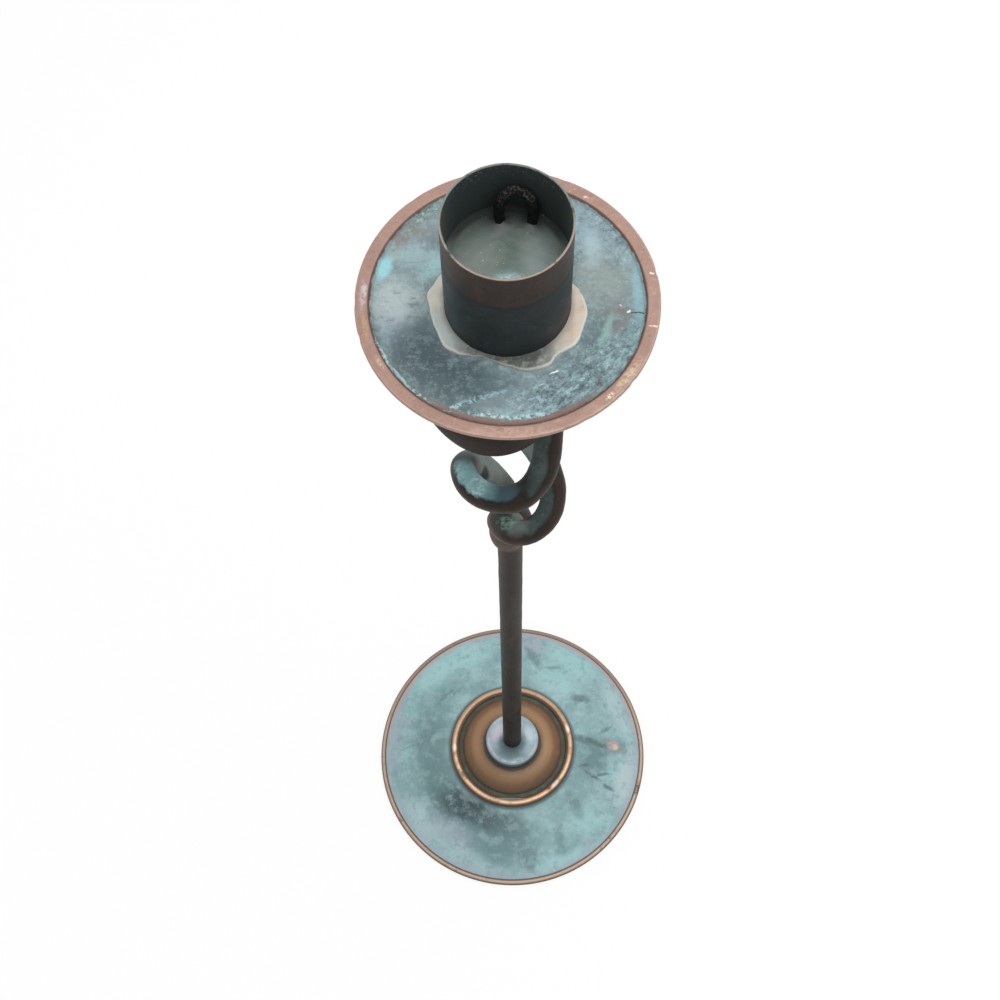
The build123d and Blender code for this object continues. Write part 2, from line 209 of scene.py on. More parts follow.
class Finish:
    def __init__(self, name, ground, rough=0.6, metal=0.0):
        self.material = bpy.data.materials.new(name)
        self.material.use_nodes = True
        self.tree = self.material.node_tree
        self.shader = self.tree.nodes["Principled BSDF"]
        self.colour = colour(ground)
        self.rough, self.metal, self.height = rough, metal, 0.5
        objectPlace = self.tree.nodes.new("ShaderNodeTexCoord").outputs["Object"]
        self.place = self.vector("SCALE", objectPlace, scale=1 / mm)
        parts = self.tree.nodes.new("ShaderNodeSeparateXYZ")
        self.tree.links.new(self.place, parts.inputs[0])
        self.x, self.y, self.z = parts.outputs
        self.r = self.vector("LENGTH", self.vector("MULTIPLY", self.place, (1.0, 1.0, 0.0)), result="Value")

    def feed(self, socket, value):
        if isinstance(value, bpy.types.NodeSocket):
            self.tree.links.new(value, socket)
        else:
            socket.default_value = value

    def vector(self, operation, first, second=None, scale=None, result="Vector"):
        node = self.tree.nodes.new("ShaderNodeVectorMath")
        node.operation = operation
        self.feed(node.inputs[0], first)
        if second is not None:
            self.feed(node.inputs[1], second)
        if scale is not None:
            self.feed(node.inputs["Scale"], scale)
        return node.outputs[result]

    def math(self, operation, first, second=0.0):
        node = self.tree.nodes.new("ShaderNodeMath")
        node.operation = operation
        self.feed(node.inputs[0], first)
        self.feed(node.inputs[1], second)
        return node.outputs[0]

    # from 0 at low to 1 at high, also where high is the smaller one
    def within(self, value, low, high):
        node = self.tree.nodes.new("ShaderNodeMapRange")
        node.interpolation_type = "SMOOTHSTEP"
        for socket, entry in zip(node.inputs, (value, low, high)):
            self.feed(socket, entry)
        return node.outputs["Result"]

    def band(self, value, low, high, soft):
        return self.times(
            self.within(value, low - soft, low + soft), self.within(value, high + soft, high - soft)
        )

    def times(self, *masks):
        product = masks[0]
        for mask in masks[1:]:
            product = self.math("MULTIPLY", product, mask)
        return product

    # noise with its size in mm; the seed moves it aside by another amount along each axis
    def cloud(self, size, seed=0.0, detail=4.0, rough=0.6, stretch=(1.0, 1.0, 1.0), result="Fac", turn=0.0):
        place = self.place
        if turn:
            spin = self.tree.nodes.new("ShaderNodeVectorRotate")
            spin.rotation_type = "Z_AXIS"
            self.feed(spin.inputs["Vector"], place)
            spin.inputs["Angle"].default_value = math.radians(-turn)
            place = spin.outputs[0]
        place = self.vector("MULTIPLY_ADD", place, tuple(part / size for part in stretch))
        place.node.inputs[2].default_value = (seed, seed * 0.7, seed * 1.3)
        node = self.tree.nodes.new("ShaderNodeTexNoise")
        self.feed(node.inputs["Vector"], place)
        node.inputs["Scale"].default_value = 1.0
        node.inputs["Detail"].default_value = detail
        node.inputs["Roughness"].default_value = rough
        return node.outputs[result]

    # patches of the noise, from 0 where it is at low to 1 where it is at high
    def patches(self, size, low, high, seed=0.0, detail=4.0, rough=0.6, stretch=(1.0, 1.0, 1.0)):
        return self.within(self.cloud(size, seed, detail, rough, stretch), low, high)

    # the place moved to and fro, so that spots laid on it get ragged edges
    def ragged(self, amount, size, seed=0.0):
        noisy = self.cloud(size, seed, detail=5, rough=0.65, result="Color")
        wander = self.vector("SUBTRACT", noisy, (0.5, 0.5, 0.5))
        return self.vector("ADD", self.place, self.vector("SCALE", wander, scale=2 * amount))

    def wavering(self, value, amount, size, seed=0.0):
        wave = self.math("SUBTRACT", self.cloud(size, seed), 0.5)
        return self.math("ADD", value, self.times(wave, 2 * amount))

    def spot(self, place, middle, sizes, turn=0.0, soft=0.5, flat=True):
        node = self.tree.nodes.new("ShaderNodeMapping")
        node.vector_type = "TEXTURE"
        self.feed(node.inputs["Vector"], self.vector("MULTIPLY", place, (1.0, 1.0, 0.0)) if flat else place)
        node.inputs["Location"].default_value = middle
        node.inputs["Rotation"].default_value = (0.0, 0.0, math.radians(turn))
        node.inputs["Scale"].default_value = sizes
        away = self.vector("LENGTH", node.outputs[0], result="Value")
        return self.within(away, 1.0 + soft, 1.0 - soft)

    # a spot given by its direction from the middle and its distance; at turn 0 it lies along that direction
    def polarSpot(self, place, degrees, r, long, wide, turn, soft):
        angle = math.radians(degrees)
        middle = (r * math.cos(angle), r * math.sin(angle), 0.0)
        return self.spot(place, middle, (long, wide, 1.0), degrees + turn, soft)

    def sector(self, middle, half, soft):
        turn = math.radians(middle)
        along = self.vector(
            "DOT_PRODUCT", self.place, (math.cos(turn), math.sin(turn), 0.0), result="Value"
        )
        limits = (math.cos(math.radians(half + soft)), math.cos(math.radians(max(half - soft, 0))))
        return self.within(self.math("DIVIDE", along, self.r), *limits)

    def facing(self, direction, level, wander=0.0, soft=0.12):
        normal = self.tree.nodes.new("ShaderNodeNewGeometry").outputs["Normal"]
        towards = self.vector("DOT_PRODUCT", normal, direction, result="Value")
        return self.within(self.math("ADD", towards, wander), level - soft, level + soft)

    # the second value where the mask is 1
    def mixed(self, mask, first, second):
        node = self.tree.nodes.new("ShaderNodeMix")
        self.feed(node.inputs[0], mask)
        self.feed(node.inputs[2], first)
        self.feed(node.inputs[3], second)
        return node.outputs[0]

    # one coat; several masks in brackets count together
    def lay(self, mask, tone, strength=1.0, rough=None, metal=None, height=None, label=""):
        masks = mask if isinstance(mask, tuple) else (mask,)
        mask = self.times(*masks, strength)
        node = self.tree.nodes.new("ShaderNodeMix")
        node.label = label
        node.data_type = "RGBA"
        self.feed(node.inputs[0], mask)
        self.feed(node.inputs[6], self.colour)
        self.feed(node.inputs[7], colour(tone))
        self.colour = node.outputs[2]
        if rough is not None:
            self.rough = self.mixed(mask, self.rough, rough)
        if metal is not None:
            self.metal = self.mixed(mask, self.metal, metal)
        if height is not None:
            self.height = self.mixed(mask, self.height, height)

    # rows: size in mm, seed, where the coat starts and is full in the noise, tone, strength
    # and, where it stands out or lies deep, height
    def blotches(self, rows, where=1.0, stretch=(1.0, 1.0, 1.0)):
        for size, seed, start, full, tone, strength, *height in rows:
            mask = self.patches(size, start, full, seed, blotchDetail, blotchRough, stretch)
            self.lay((mask, strength, where), tone, height=height[0] if height else None)

    # rows: name, direction in degrees, distance, half length, half width, turn, tone, strength;
    # the wide ones are broken up by the patchy mask
    def marks(self, rows, wide, close, patchy=1.0, where=1.0, wideFrom=1.4):
        for name, degrees, r, long, width, turn, tone, strength in rows:
            place, soft, broken = (wide, softWide, patchy) if width > wideFrom else (close, softClose, 1.0)
            spot = self.polarSpot(place, degrees, r, long, width, turn, soft)
            self.lay((spot, strength, where, broken), tone, label=name)

    # depth of the bumps in mm, then size in mm, share, seed, detail and roughness of the grain in them
    def finish(self, depth, grain, share, seed=0.0, detail=4.0, rough=0.6, **constant):
        self.feed(self.shader.inputs["Base Color"], self.colour)
        self.feed(self.shader.inputs["Roughness"], self.rough)
        self.feed(self.shader.inputs["Metallic"], self.metal)
        for name, value in constant.items():
            self.shader.inputs[name.replace("_", " ")].default_value = value
        bump = self.tree.nodes.new("ShaderNodeBump")
        bump.inputs["Distance"].default_value = depth * mm
        fine = self.times(self.cloud(grain, seed, detail, rough), share)
        self.feed(bump.inputs["Height"], self.math("ADD", self.height, fine))
        self.feed(self.shader.inputs["Normal"], bump.outputs[0])
        return self.material


# a piece gets one material and no other
def wear(piece, material):
    piece.data.materials.clear()
    piece.data.materials.append(material)


# foot dish: domed sheet with a rolled bead as rim, in worn verdigris
footR, footLow, footHigh = reach("base_dish")
footSizes = {
    "beadR": 1.0 * mm, "restCut": 0.3 * mm, "sheet": 1.0 * mm, "seatR": 22.6 * mm, "crown": 0.9 * mm,
    "edgeHigh": 1.5 * mm, "boreR": 2.75 * mm, "sides": 256, "flatSteps": 8, "domeSteps": 48,
    "beadSteps": 18,
    "beadFrom": 100, "beadSweep": 290,  # degrees round the bead
    "dent": 0.10 * mm, "dentSize": 17 * mm, "dentFade": 4 * mm,
    "ground": ((132, 162, 164), 0.62), "bump": (0.12, 0.5, 0.25, 2, 3),
    "bead": ((172, 150, 130), 1.0, 0.45, 0.35), "beadRear": ((136, 115, 106), 0.75, 0.6, 0.2),
    "beadBrown": ((96, 78, 67), 1.0, 0.6, 0.2), "beadUnderShade": (86, 73, 60),
    "under": ((96, 76, 64), 1.0, 0.6, 0.35), "underGreen": (84, 104, 98),
    "blotches": [
        (26, 1, 0.42, 0.60, "teal", 0.5), (15, 5, 0.48, 0.66, "mint", 0.55),
        (11, 9, 0.56, 0.70, "lilac", 0.4),
        (7, 12, 0.50, 0.60, "teal", 0.45), (5.5, 16, 0.53, 0.62, "mint", 0.4),
    ],
    "mottle": [
        (4.5, 31, 0.50, 0.62, "pale", 0.28), (3.4, 37, 0.48, 0.36, "deep", 0.32),
        (1.2, 20, 0.53, 0.70, "pale", 0.15, 0.62), (0.9, 23, 0.45, 0.30, "deep", 0.28, 0.40),
    ],
    "marks": [
        ("lilac along the left rim", 172, 43.5, 16, 3.4, 90, "lilac", 0.6),
        ("pale at the upper left", 139, 41, 9, 5, 90, "mint", 0.6),
        ("mint behind on the left", 120, 39, 13, 6, 90, "mint", 0.75),
        ("mint behind on the right", 57, 40, 11, 5, 90, "mint", 0.8),
        ("mint beside the rod", 60, 30, 9, 5, 90, "mint", 0.7),
        ("pale edge on the right", 22, 41, 11, 3, 90, "pale", 0.75),
        ("pale edge low on the right", 347, 42, 10, 3, 90, (174, 188, 190), 0.8),
        # painted shadow: the next two rows darken the dish left of the boss
        ("painted shadow on the left", 177, 29, 15, 6.5, 90, (96, 125, 127), 0.85),
        ("painted shadow low on the left", 205, 28, 10, 6, 90, (92, 122, 124), 0.8),
        ("teal behind on the left", 142, 31, 9, 6, 90, "teal", 0.6),
        ("teal on the right", 354, 29, 8, 5, 90, (90, 120, 122), 0.9),
        ("teal at the lower right", 318, 28, 9, 4.5, 90, "teal", 0.55),
        # painted shadow: the two slate rows and the ink row darken the dish at the lower left of the boss
        ("painted shadow below the boss", 236, 28.5, 12, 7, 90, (48, 68, 72), 1.0),
        ("slate further round", 259, 28, 10, 5, 90, (70, 92, 96), 0.9),
        ("slate smoke", 250, 35, 10, 3.2, 75, "teal", 0.7),
        ("painted shadow beside the boss", 234, 24.5, 5.5, 1.8, 90, "ink", 0.85),
        ("lilac under the slate", 235, 37, 8, 4, 90, "lilac", 0.6),
        ("pale at the lower left", 218, 42, 10, 4, 90, "pale", 0.65),
        ("pale in front", 250, 42, 9, 4, 90, "pale", 0.6),
        ("teal in front", 268, 35, 10, 5.5, 90, (94, 124, 127), 0.85),
        ("bright edge in front on the right", 294, 43.5, 10, 2.8, 90, "mint", 0.9),
        ("bright on the lower right", 314, 36, 8, 4, 90, "mint", 0.6),
        ("lilac smoke beside the rod", 80, 41, 5, 4, 90, "lilac", 0.85),
        ("dark smoke beside the rod", 78, 35.5, 5, 1.5, 45, "slate", 0.5),
        ("smudge", 37, 31, 3.4, 1.5, -38, "slate", 0.75),
        ("small smudge behind", 64, 34, 3, 0.7, -64, "deep", 0.6),
        ("streak on the left", 141, 31, 4.5, 0.6, -95, "deep", 0.75),
        ("second streak on the left", 133, 29, 2.6, 0.5, -95, "deep", 0.5),
        ("line on the left", 178, 35, 6, 0.35, -163, "deep", 0.55),
        ("smudge in front", 279, 40, 3.6, 2.0, 0, "deep", 0.75),
        ("smear on the lower right", 317, 30, 5, 2.0, -20, "deep", 0.65),
        ("second smear on the lower right", 298, 37, 3.6, 1.8, 0, "deep", 0.55),
        ("root of the trail", 7, 25, 3.2, 1.4, -24, (88, 116, 120), 0.95),
        ("trail", 4.5, 29.5, 4.6, 0.9, -26, "slate", 0.9),
        ("end of the trail", 2, 33.6, 2.4, 0.8, 0, "slate", 0.8),
        ("hook above the blister", 12, 34.4, 2.6, 0.5, 22, "deep", 0.9),
        ("ring of the blister", 2, 36.6, 3.3, 2.7, 0, (110, 124, 126), 0.95),
        ("blister", 2.6, 36.4, 2.1, 1.8, 0, "blush", 0.9),
        ("core of the blister", 1.4, 36.9, 1.0, 0.9, 0, (200, 194, 174), 0.7),
        ("specks beside the boss", 346, 26.5, 2, 0.6, 30, "slate", 0.8),
        ("branch", 341, 30.5, 3.8, 0.6, -12, "slate", 0.95),
        ("second branch", 343.5, 33, 3.2, 0.5, 26, "slate", 0.75),
        ("end of the branch", 338, 36.8, 2.4, 0.7, -4, "slate", 0.8),
    ],
}


def makeFoot():
    size = footSizes
    edgeR = footR - size["beadR"]
    middle = ((footR + size["seatR"]) / 2, (footHigh + size["edgeHigh"]) / 2 + size["crown"])
    under = footHigh - size["sheet"]
    beadZ = size["beadR"] - size["restCut"]
    outline = [
        (size["boreR"] + (size["seatR"] - size["boreR"]) * step / size["flatSteps"], footHigh)
        for step in range(size["flatSteps"])
    ]
    outline += arcPoints((size["seatR"], footHigh), middle, (edgeR, size["edgeHigh"]), size["domeSteps"])
    for step in range(size["beadSteps"] + 1):
        angle = math.radians(size["beadFrom"] - size["beadSweep"] * step / size["beadSteps"])
        outline.append((
            edgeR + size["beadR"] * math.cos(angle), max(beadZ + size["beadR"] * math.sin(angle), footLow),
        ))
    inside = (middle[0], middle[1] - size["sheet"])
    outline += arcPoints((edgeR - size["sheet"], beadZ), inside, (size["seatR"], under), size["domeSteps"])
    outline.append((size["boreR"], under))

    def hammered(point, r, z, angle):
        fade = min(min(r - size["seatR"], edgeR - r) / size["dentFade"], 1.0)
        if fade > 0:
            point.z += fade * swell((point.x, point.y, 0), size["dentSize"], size["dent"])
        return (point.x, point.y, max(point.z, footLow))

    vertices, faces = turned(outline, size["sides"], hammered)
    return makePiece("footDish", vertices, faces, ["base_dish"])


def footFinish():
    size = footSizes
    rim, crest = footR / mm, (footR - size["beadR"]) / mm
    sheet = Finish("footVerdigris", *size["ground"])
    sheet.blotches(size["blotches"])
    patchy = sheet.patches(4.5, 0.22, 0.46, 61, detail=5, rough=0.62)
    sheet.marks(size["marks"], sheet.ragged(3.4, 8, 2.0), sheet.ragged(1.0, 2.2, 4.0), patchy, wideFrom=2.4)
    # thin wandering veins
    veins = sheet.band(sheet.cloud(9, 14, detail=5, rough=0.7), 0.495, 0.505, 0.012)
    sheet.lay((veins, sheet.patches(14, 0.5, 0.62, 3, detail=2, rough=0.5)), "deep", 0.4)
    sheet.blotches(size["mottle"])
    # painted contact shade round the boss
    bossEdge = bossR / mm
    sheet.lay(sheet.band(sheet.r, bossEdge - 1, bossEdge + 0.9, 0.5), "slate", 0.75)
    # pale and blushing edge, then the bead in bare metal, with a painted highlight on its crest and painted
    # shade on its lower outer side
    near = sheet.wavering(sheet.r, 1.6, 5, 11.0)
    sheet.lay(sheet.within(near, rim - 5, rim - 2.2), "lilac", 0.5)
    behind = sheet.times(sheet.within(near, rim - 3.4, rim - 2.2), sheet.sector(90, 78, 14))
    sheet.lay(behind, "blush", 0.7)
    sheet.lay(sheet.within(sheet.r, crest - 0.95, crest - 0.75), *size["beadBrown"])
    # worn bare crest on top of the bead, which also serves as the bead's painted highlight
    worn = sheet.times(sheet.within(sheet.r, crest - 0.6, crest - 0.25), sheet.within(sheet.z, 1.15, 1.6))
    sheet.lay((worn, sheet.patches(4, 0.25, 0.45, 17, rough=0.65)), *size["bead"])
    sheet.lay((worn, sheet.sector(90, 62, 25)), *size["beadRear"])
    # painted shade on the lower outer side of the bead
    beadShadeMask = sheet.times(sheet.within(sheet.z, 1.6, 1.1), sheet.within(sheet.r, crest, crest + 0.4))
    sheet.lay(beadShadeMask, size["beadUnderShade"])
    inner = sheet.within(sheet.r, crest - 0.9, crest - 1.3)
    under = sheet.times(sheet.facing(downward, 0.3), inner)
    sheet.lay(under, *size["under"])
    sheet.lay((under, sheet.patches(12, 0.45, 0.62, 31)), size["underGreen"])
    return sheet.finish(*size["bump"])


# boss: one casting of bead, groove and rounded ovolo
bossR, bossLow, bossHigh = reach("boss_ring")
bossSizes = {
    "beadHalf": 1.37 * mm, "beadWide": 2.8 * mm, "beadInHigh": 2.0 * mm, "grooveWide": 1.75 * mm,
    "grooveHigh": 1.2 * mm, "ovoloStep": 0.7 * mm, "ovoloTopR": 9.7 * mm, "ovoloCrown": 0.85 * mm,
    "boreR": 2.75 * mm, "sides": 192, "beadSteps": 20, "fallSteps": 10, "ovoloSteps": 24,
    "fallBow": 0.72, "cove": 0.25 * mm,
    "cast": 0.05 * mm, "castSize": 5 * mm, "castFrom": 0.2 * mm, "castOut": 0.004, "castShift": 3.0,
    "ground": ((124, 94, 67), 0.48, 0.3), "bump": (0.12, 0.8, 0.5, 5),
    "crown": ((168, 130, 96), 0.6, 0.42), "shadeBesideDisc": ((64, 59, 52), 0.85, 0.7, 0.1),
    "frontShade": (100, 78, 57), "groove": ((66, 65, 56), 0.95, 0.75, 0.05),
    "grooveGreen": ((86, 94, 84), 0.6),
    "beadSlope": (112, 84, 62), "bead": ((208, 174, 143), 1.0, 0.38, 0.45),
    "beadRear": ((146, 124, 104), 0.6, 0.5),
    "beadFoot": ((90, 68, 52), 0.9, 0.6), "glint": ((226, 208, 194), 0.8),
    "greenGlint": ((166, 184, 168), 0.8),
    "blotches": [
        (6, 1, 0.45, 0.65, (118, 88, 62), 0.6), (3, 6, 0.55, 0.70, (158, 121, 88), 0.45),
        (1.2, 9, 0.58, 0.72, (172, 140, 108), 0.3, 0.6), (1.0, 12, 0.44, 0.30, (96, 74, 54), 0.35, 0.4),
    ],
    # direction in degrees, distance and half sizes in mm
    "glints": [(318, 20.6, 1.7, 0.7), (17, 20.6, 1.4, 0.7), (183, 20.6, 1.2, 0.7)],
}


def makeBoss():
    size = bossSizes
    beadMiddleR, beadZ = bossR - size["beadHalf"], bossLow + size["beadHalf"]
    beadTop, beadIn = beadZ + size["beadHalf"], (bossR - size["beadWide"], bossLow + size["beadInHigh"])
    grooveR, grooveZ = beadIn[0] - size["grooveWide"], bossLow + size["grooveHigh"]
    ovoloLow = (grooveR, grooveZ + size["ovoloStep"])
    ovoloMiddle = (
        (grooveR + size["ovoloTopR"]) / 2 + size["ovoloCrown"] / 2,
        (ovoloLow[1] + bossHigh) / 2 + size["ovoloCrown"],
    )
    fallMiddle = ((beadMiddleR + beadIn[0]) / 2, beadIn[1] + (beadTop - beadIn[1]) * size["fallBow"])
    cove = size["cove"]
    outline = [(size["boreR"], bossLow)]
    outline += arcPoints((beadMiddleR, bossLow), (bossR, beadZ), (beadMiddleR, beadTop), size["beadSteps"])
    outline += arcPoints((beadMiddleR, beadTop), fallMiddle, beadIn, size["fallSteps"])[1:]
    outline += [(beadIn[0] - cove / 2, grooveZ + cove / 2), (beadIn[0] - cove, grooveZ)]
    outline += [(grooveR + cove, grooveZ), (grooveR, grooveZ + cove / 2)]
    outline += arcPoints(ovoloLow, ovoloMiddle, (size["ovoloTopR"], bossHigh), size["ovoloSteps"])
    outline.append((size["boreR"], bossHigh))

    def cast(point, r, z, angle):
        if z > bossLow + size["castFrom"] and r > size["ovoloTopR"]:
            point.z += swell(point, size["castSize"], size["cast"])
            point.xy *= 1 - max(swell(point, size["castSize"], size["castOut"], size["castShift"]), 0)
        return tuple(point)

    vertices, faces = turned(outline, size["sides"], cast)
    return makePiece("bossRing", vertices, faces, ["boss_ring"])


def bossFinish():
    size = bossSizes
    outR, topR = bossR / mm, size["ovoloTopR"] / mm
    beadInR = outR - size["beadWide"] / mm
    grooveR = beadInR - size["grooveWide"] / mm
    cast = Finish("bossCopper", *size["ground"])
    cast.blotches(size["blotches"])
    near = cast.wavering(cast.r, 0.4, 2.2, 3.0)
    # painted highlight: a lighter ring round the crown of the ovolo
    cast.lay(cast.band(near, topR + 1.8, grooveR - 3.0, 0.9), *size["crown"])
    front = cast.times(cast.within(near, grooveR - 2.8, grooveR - 0.6), cast.sector(270, 70, 30))
    cast.lay(front, size["frontShade"], 0.7)
    cast.lay((cast.sector(270, 55, 35), cast.within(near, grooveR, grooveR - 0.4)), size["frontShade"], 0.5)
    # painted shadow: a dark ring on the ovolo round the foot of the disc
    cast.lay(cast.within(near, topR + 1.1, topR + 0.2), *size["shadeBesideDisc"])
    cast.lay(cast.band(near, grooveR - 0.25, beadInR + 0.1, 0.25), *size["groove"])
    green = cast.band(near, grooveR + 0.1, beadInR + 0.3, 0.3)
    cast.lay((green, cast.patches(5, 0.40, 0.64, 15)), *size["grooveGreen"])
    # bead: bare crest between browner flanks
    cast.lay(cast.within(near, beadInR + 0.1, beadInR + 0.5), size["beadSlope"], rough=0.5, metal=0.3)
    glint = cast.spot(cast.ragged(0.2, 1.5, 6.0), (-0.4, -beadInR - 0.1, 0.0), (4.4, 0.35, 1.0))
    cast.lay(glint, *size["greenGlint"])
    crest = cast.band(cast.r, outR - 1.95, outR - 0.65, 0.3)
    cast.lay((crest, cast.patches(5, 0.28, 0.5, 9)), *size["bead"])
    cast.lay((crest, cast.sector(90, 80, 35)), *size["beadRear"])
    cast.lay((crest, cast.patches(0.9, 0.46, 0.34, 19, rough=0.7)), size["beadSlope"], 0.45)
    wander = cast.ragged(0.4, 1.6, 1.0)
    for degrees, r, long, wide in size["glints"]:
        cast.lay(cast.polarSpot(wander, degrees, r, long, wide, 90, 0.5), *size["glint"])
    cast.lay(cast.within(cast.r, outR - 0.5, outR - 0.15), *size["beadFoot"])
    foot = bossLow / mm
    low = cast.within(cast.z, foot + 1.0, foot + 0.4)
    cast.lay((low, cast.within(cast.r, outR - 1.6, outR - 1)), "ink")
    return cast.finish(*size["bump"])


# disc that the stem stands on
seatR, seatLow, seatHigh = reach("stem_seat")
seatSizes = {
    "rounding": 0.9 * mm, "roundSteps": 6, "foot": 0.2 * mm, "boreR": 2.75 * mm, "sides": 128,
    "worn": 0.08 * mm, "wornSize": 4 * mm, "wornFrom": 0.05 * mm, "wornShift": 1.3,
    "ground": ((150, 164, 174), 0.55, 0.1), "bump": (0.1, 0.6, 0.6, 5, 4, 0.65),
    "wall": ((76, 88, 88), 0.9, 0.65), "wallFootShade": ((46, 51, 48), 0.8),
    "edge": ((184, 196, 200), 0.6, 0.45),
    "shade": ((64, 84, 90), 0.9), "shadePlace": (0.0, -1.4, 0.0), "shadeHalf": (4.4, 3.6, 1.0),
    "blotches": [
        (6, 2, 0.42, 0.60, (130, 154, 161), 0.8), (3.5, 8, 0.52, 0.66, (144, 183, 184), 0.45),
        (2.4, 12, 0.58, 0.70, (186, 182, 190), 0.45, 0.6),
    ],
    "marks": [
        ("lilac on the left", 155, 5.6, 3.4, 2.0, 90, (192, 187, 199), 0.9),
        ("pale on the right", 15, 6.2, 3.2, 1.5, 90, (184, 202, 208), 0.75),
        # painted highlight on the front edge, then painted shade on the front of the top
        ("painted highlight in front", 285, 7.2, 1.7, 0.6, 90, (190, 214, 216), 0.85),
        ("painted shade in front", 262, 5.4, 4.8, 2.2, 90, (92, 116, 121), 0.95),
    ],
}


def makeSeat():
    size = seatSizes
    outline = roundedCorners([
        (size["boreR"], seatLow, 0), (seatR, seatLow, size["foot"]), (seatR, seatHigh, size["rounding"]),
        ((seatR + size["boreR"]) / 2, seatHigh, 0), (size["boreR"], seatHigh, 0),
    ], size["roundSteps"])

    def worn(point, r, z, angle):
        if z > seatHigh - size["wornFrom"]:
            point.z -= abs(swell(point, size["wornSize"], size["worn"], size["wornShift"]))
        return tuple(point)

    vertices, faces = turned(outline, size["sides"], worn)
    return makePiece("stemSeat", vertices, faces, ["stem_seat"])


def seatFinish():
    size = seatSizes
    edge, low, high = seatR / mm, seatLow / mm, seatHigh / mm
    disc = Finish("seatVerdigris", *size["ground"])
    disc.blotches(size["blotches"])
    wander = disc.ragged(0.7, 1.8, 3.0)
    disc.marks(size["marks"], wander, wander)
    ring = disc.times(disc.band(disc.r, edge - 1.2, edge - 0.5, 0.3), disc.patches(2, 0.44, 0.6, 4))
    disc.lay(ring, *size["edge"])
    disc.lay(disc.spot(wander, size["shadePlace"], size["shadeHalf"], soft=0.45), *size["shade"])
    # painted shade: the side wall is darker, and darkest at its foot
    disc.lay(disc.within(disc.z, high - 0.7, high - 1.6), *size["wall"])
    disc.lay(disc.within(disc.z, low + 2.2, low + 0.9), *size["wallFootShade"])
    return disc.finish(*size["bump"])


# stem: drawn rod with a knuckle brazed on top and a threaded tail below
knuckleReach, stemLow, knuckleTop = reach("stem")
stemSizes = {
    "rodR": 3.15 * mm, "tailR": 2.5 * mm, "rodTop": 212.0 * mm, "pitch": 0.8 * mm, "threadDeep": 0.24 * mm,
    "threadHigh": 10.0 * mm, "threadSteps": 90, "nose": 0.5 * mm, "sides": 48, "rodSteps": 160,
    "knuckleR": 4.6 * mm, "knuckleTipR": 1.2 * mm, "knuckleZ": 213.7 * mm, "below": 10.5 * mm,
    "above": 9.5 * mm, "shift": (-0.6 * mm, 0.6 * mm), "knuckleSteps": 16, "knuckleSides": 64,
    "waverFrom": 1 * mm, "waver": 0.06 * mm, "waverSize": 6 * mm, "pit": 0.03 * mm, "pitSize": 1.6 * mm,
    "ground": ((43, 34, 26), 0.5, 0.1), "bump": (0.12, 0.5, 0.4, 7), "warm": ((57, 44, 35), 0.6),
    "knuckle": ((93, 74, 67), 0.9), "knuckleTop": ((112, 122, 114), 0.8),
    "cold": ((42, 54, 54), 0.65), "shade": ((32, 38, 39), 0.8), "thread": ((150, 128, 84), 1.0, 0.38, 0.8),
    "streaks": [
        (4, 2, 0.46, 0.60, (60, 53, 45), 0.7), (3, 6, 0.52, 0.66, (40, 44, 42), 0.6),
    ],
    "blotches": [
        (1.4, 9, 0.58, 0.72, (76, 67, 58), 0.4, 0.6), (1.1, 12, 0.44, 0.28, (30, 27, 24), 0.6, 0.35),
    ],
}


def knuckleOutline():
    size = stemSizes

    def flank(tipZ):
        tipR, sideR, fall = size["knuckleTipR"], size["knuckleR"], abs(tipZ - size["knuckleZ"])
        bend = ((sideR - tipR) ** 2 + fall ** 2) / (2 * (sideR - tipR))
        points = []
        for step in range(size["knuckleSteps"] + 1):
            z = fall * (1 - step / size["knuckleSteps"])
            r = sideR - bend + math.sqrt(bend * bend - z * z)
            points.append((r, size["knuckleZ"] + math.copysign(z, tipZ - size["knuckleZ"])))
        return points

    low, high = flank(size["knuckleZ"] - size["below"]), flank(size["knuckleZ"] + size["above"])
    return [(0.0, low[0][1])] + low + list(reversed(high))[1:] + [(0.0, high[0][1])]


def makeStem():
    size = stemSizes
    outline = [(0.0, stemLow)]
    for step in range(size["threadSteps"] + 1):
        z = stemLow + (size["threadHigh"] - stemLow) * step / size["threadSteps"]
        outline.append((size["tailR"] - max(size["nose"] - (z - stemLow), 0), z))
    outline.append((size["tailR"], seatHigh))
    for step in range(size["rodSteps"] + 1):
        outline.append((size["rodR"], seatHigh + (size["rodTop"] - seatHigh) * step / size["rodSteps"]))
    outline.append((0.0, size["rodTop"]))

    def shaped(point, r, z, angle):
        push = 0.0
        if z < size["threadHigh"] and r > size["tailR"] / 2:
            phase = (z / size["pitch"] - angle / math.tau) % 1.0
            push = -size["threadDeep"] * (1 - abs(2 * phase - 1))
        elif z > seatHigh + size["waverFrom"]:
            push = swell(point, size["waverSize"], size["waver"])
            push += swell(point, size["pitSize"], size["pit"])
        point.xy *= (r + push) / r
        return tuple(point)

    vertices, faces = turned(outline, size["sides"], shaped)
    stem = makePiece("stemRod", vertices, faces, ["stem"], sharpAngle=50)
    vertices, faces = turned(knuckleOutline(), size["knuckleSides"], None, size["shift"])
    knuckle = makePiece("knuckle", vertices, faces, [], sharpAngle=50)
    boolean(stem, knuckle, "UNION")
    bpy.data.objects.remove(knuckle)
    return stem


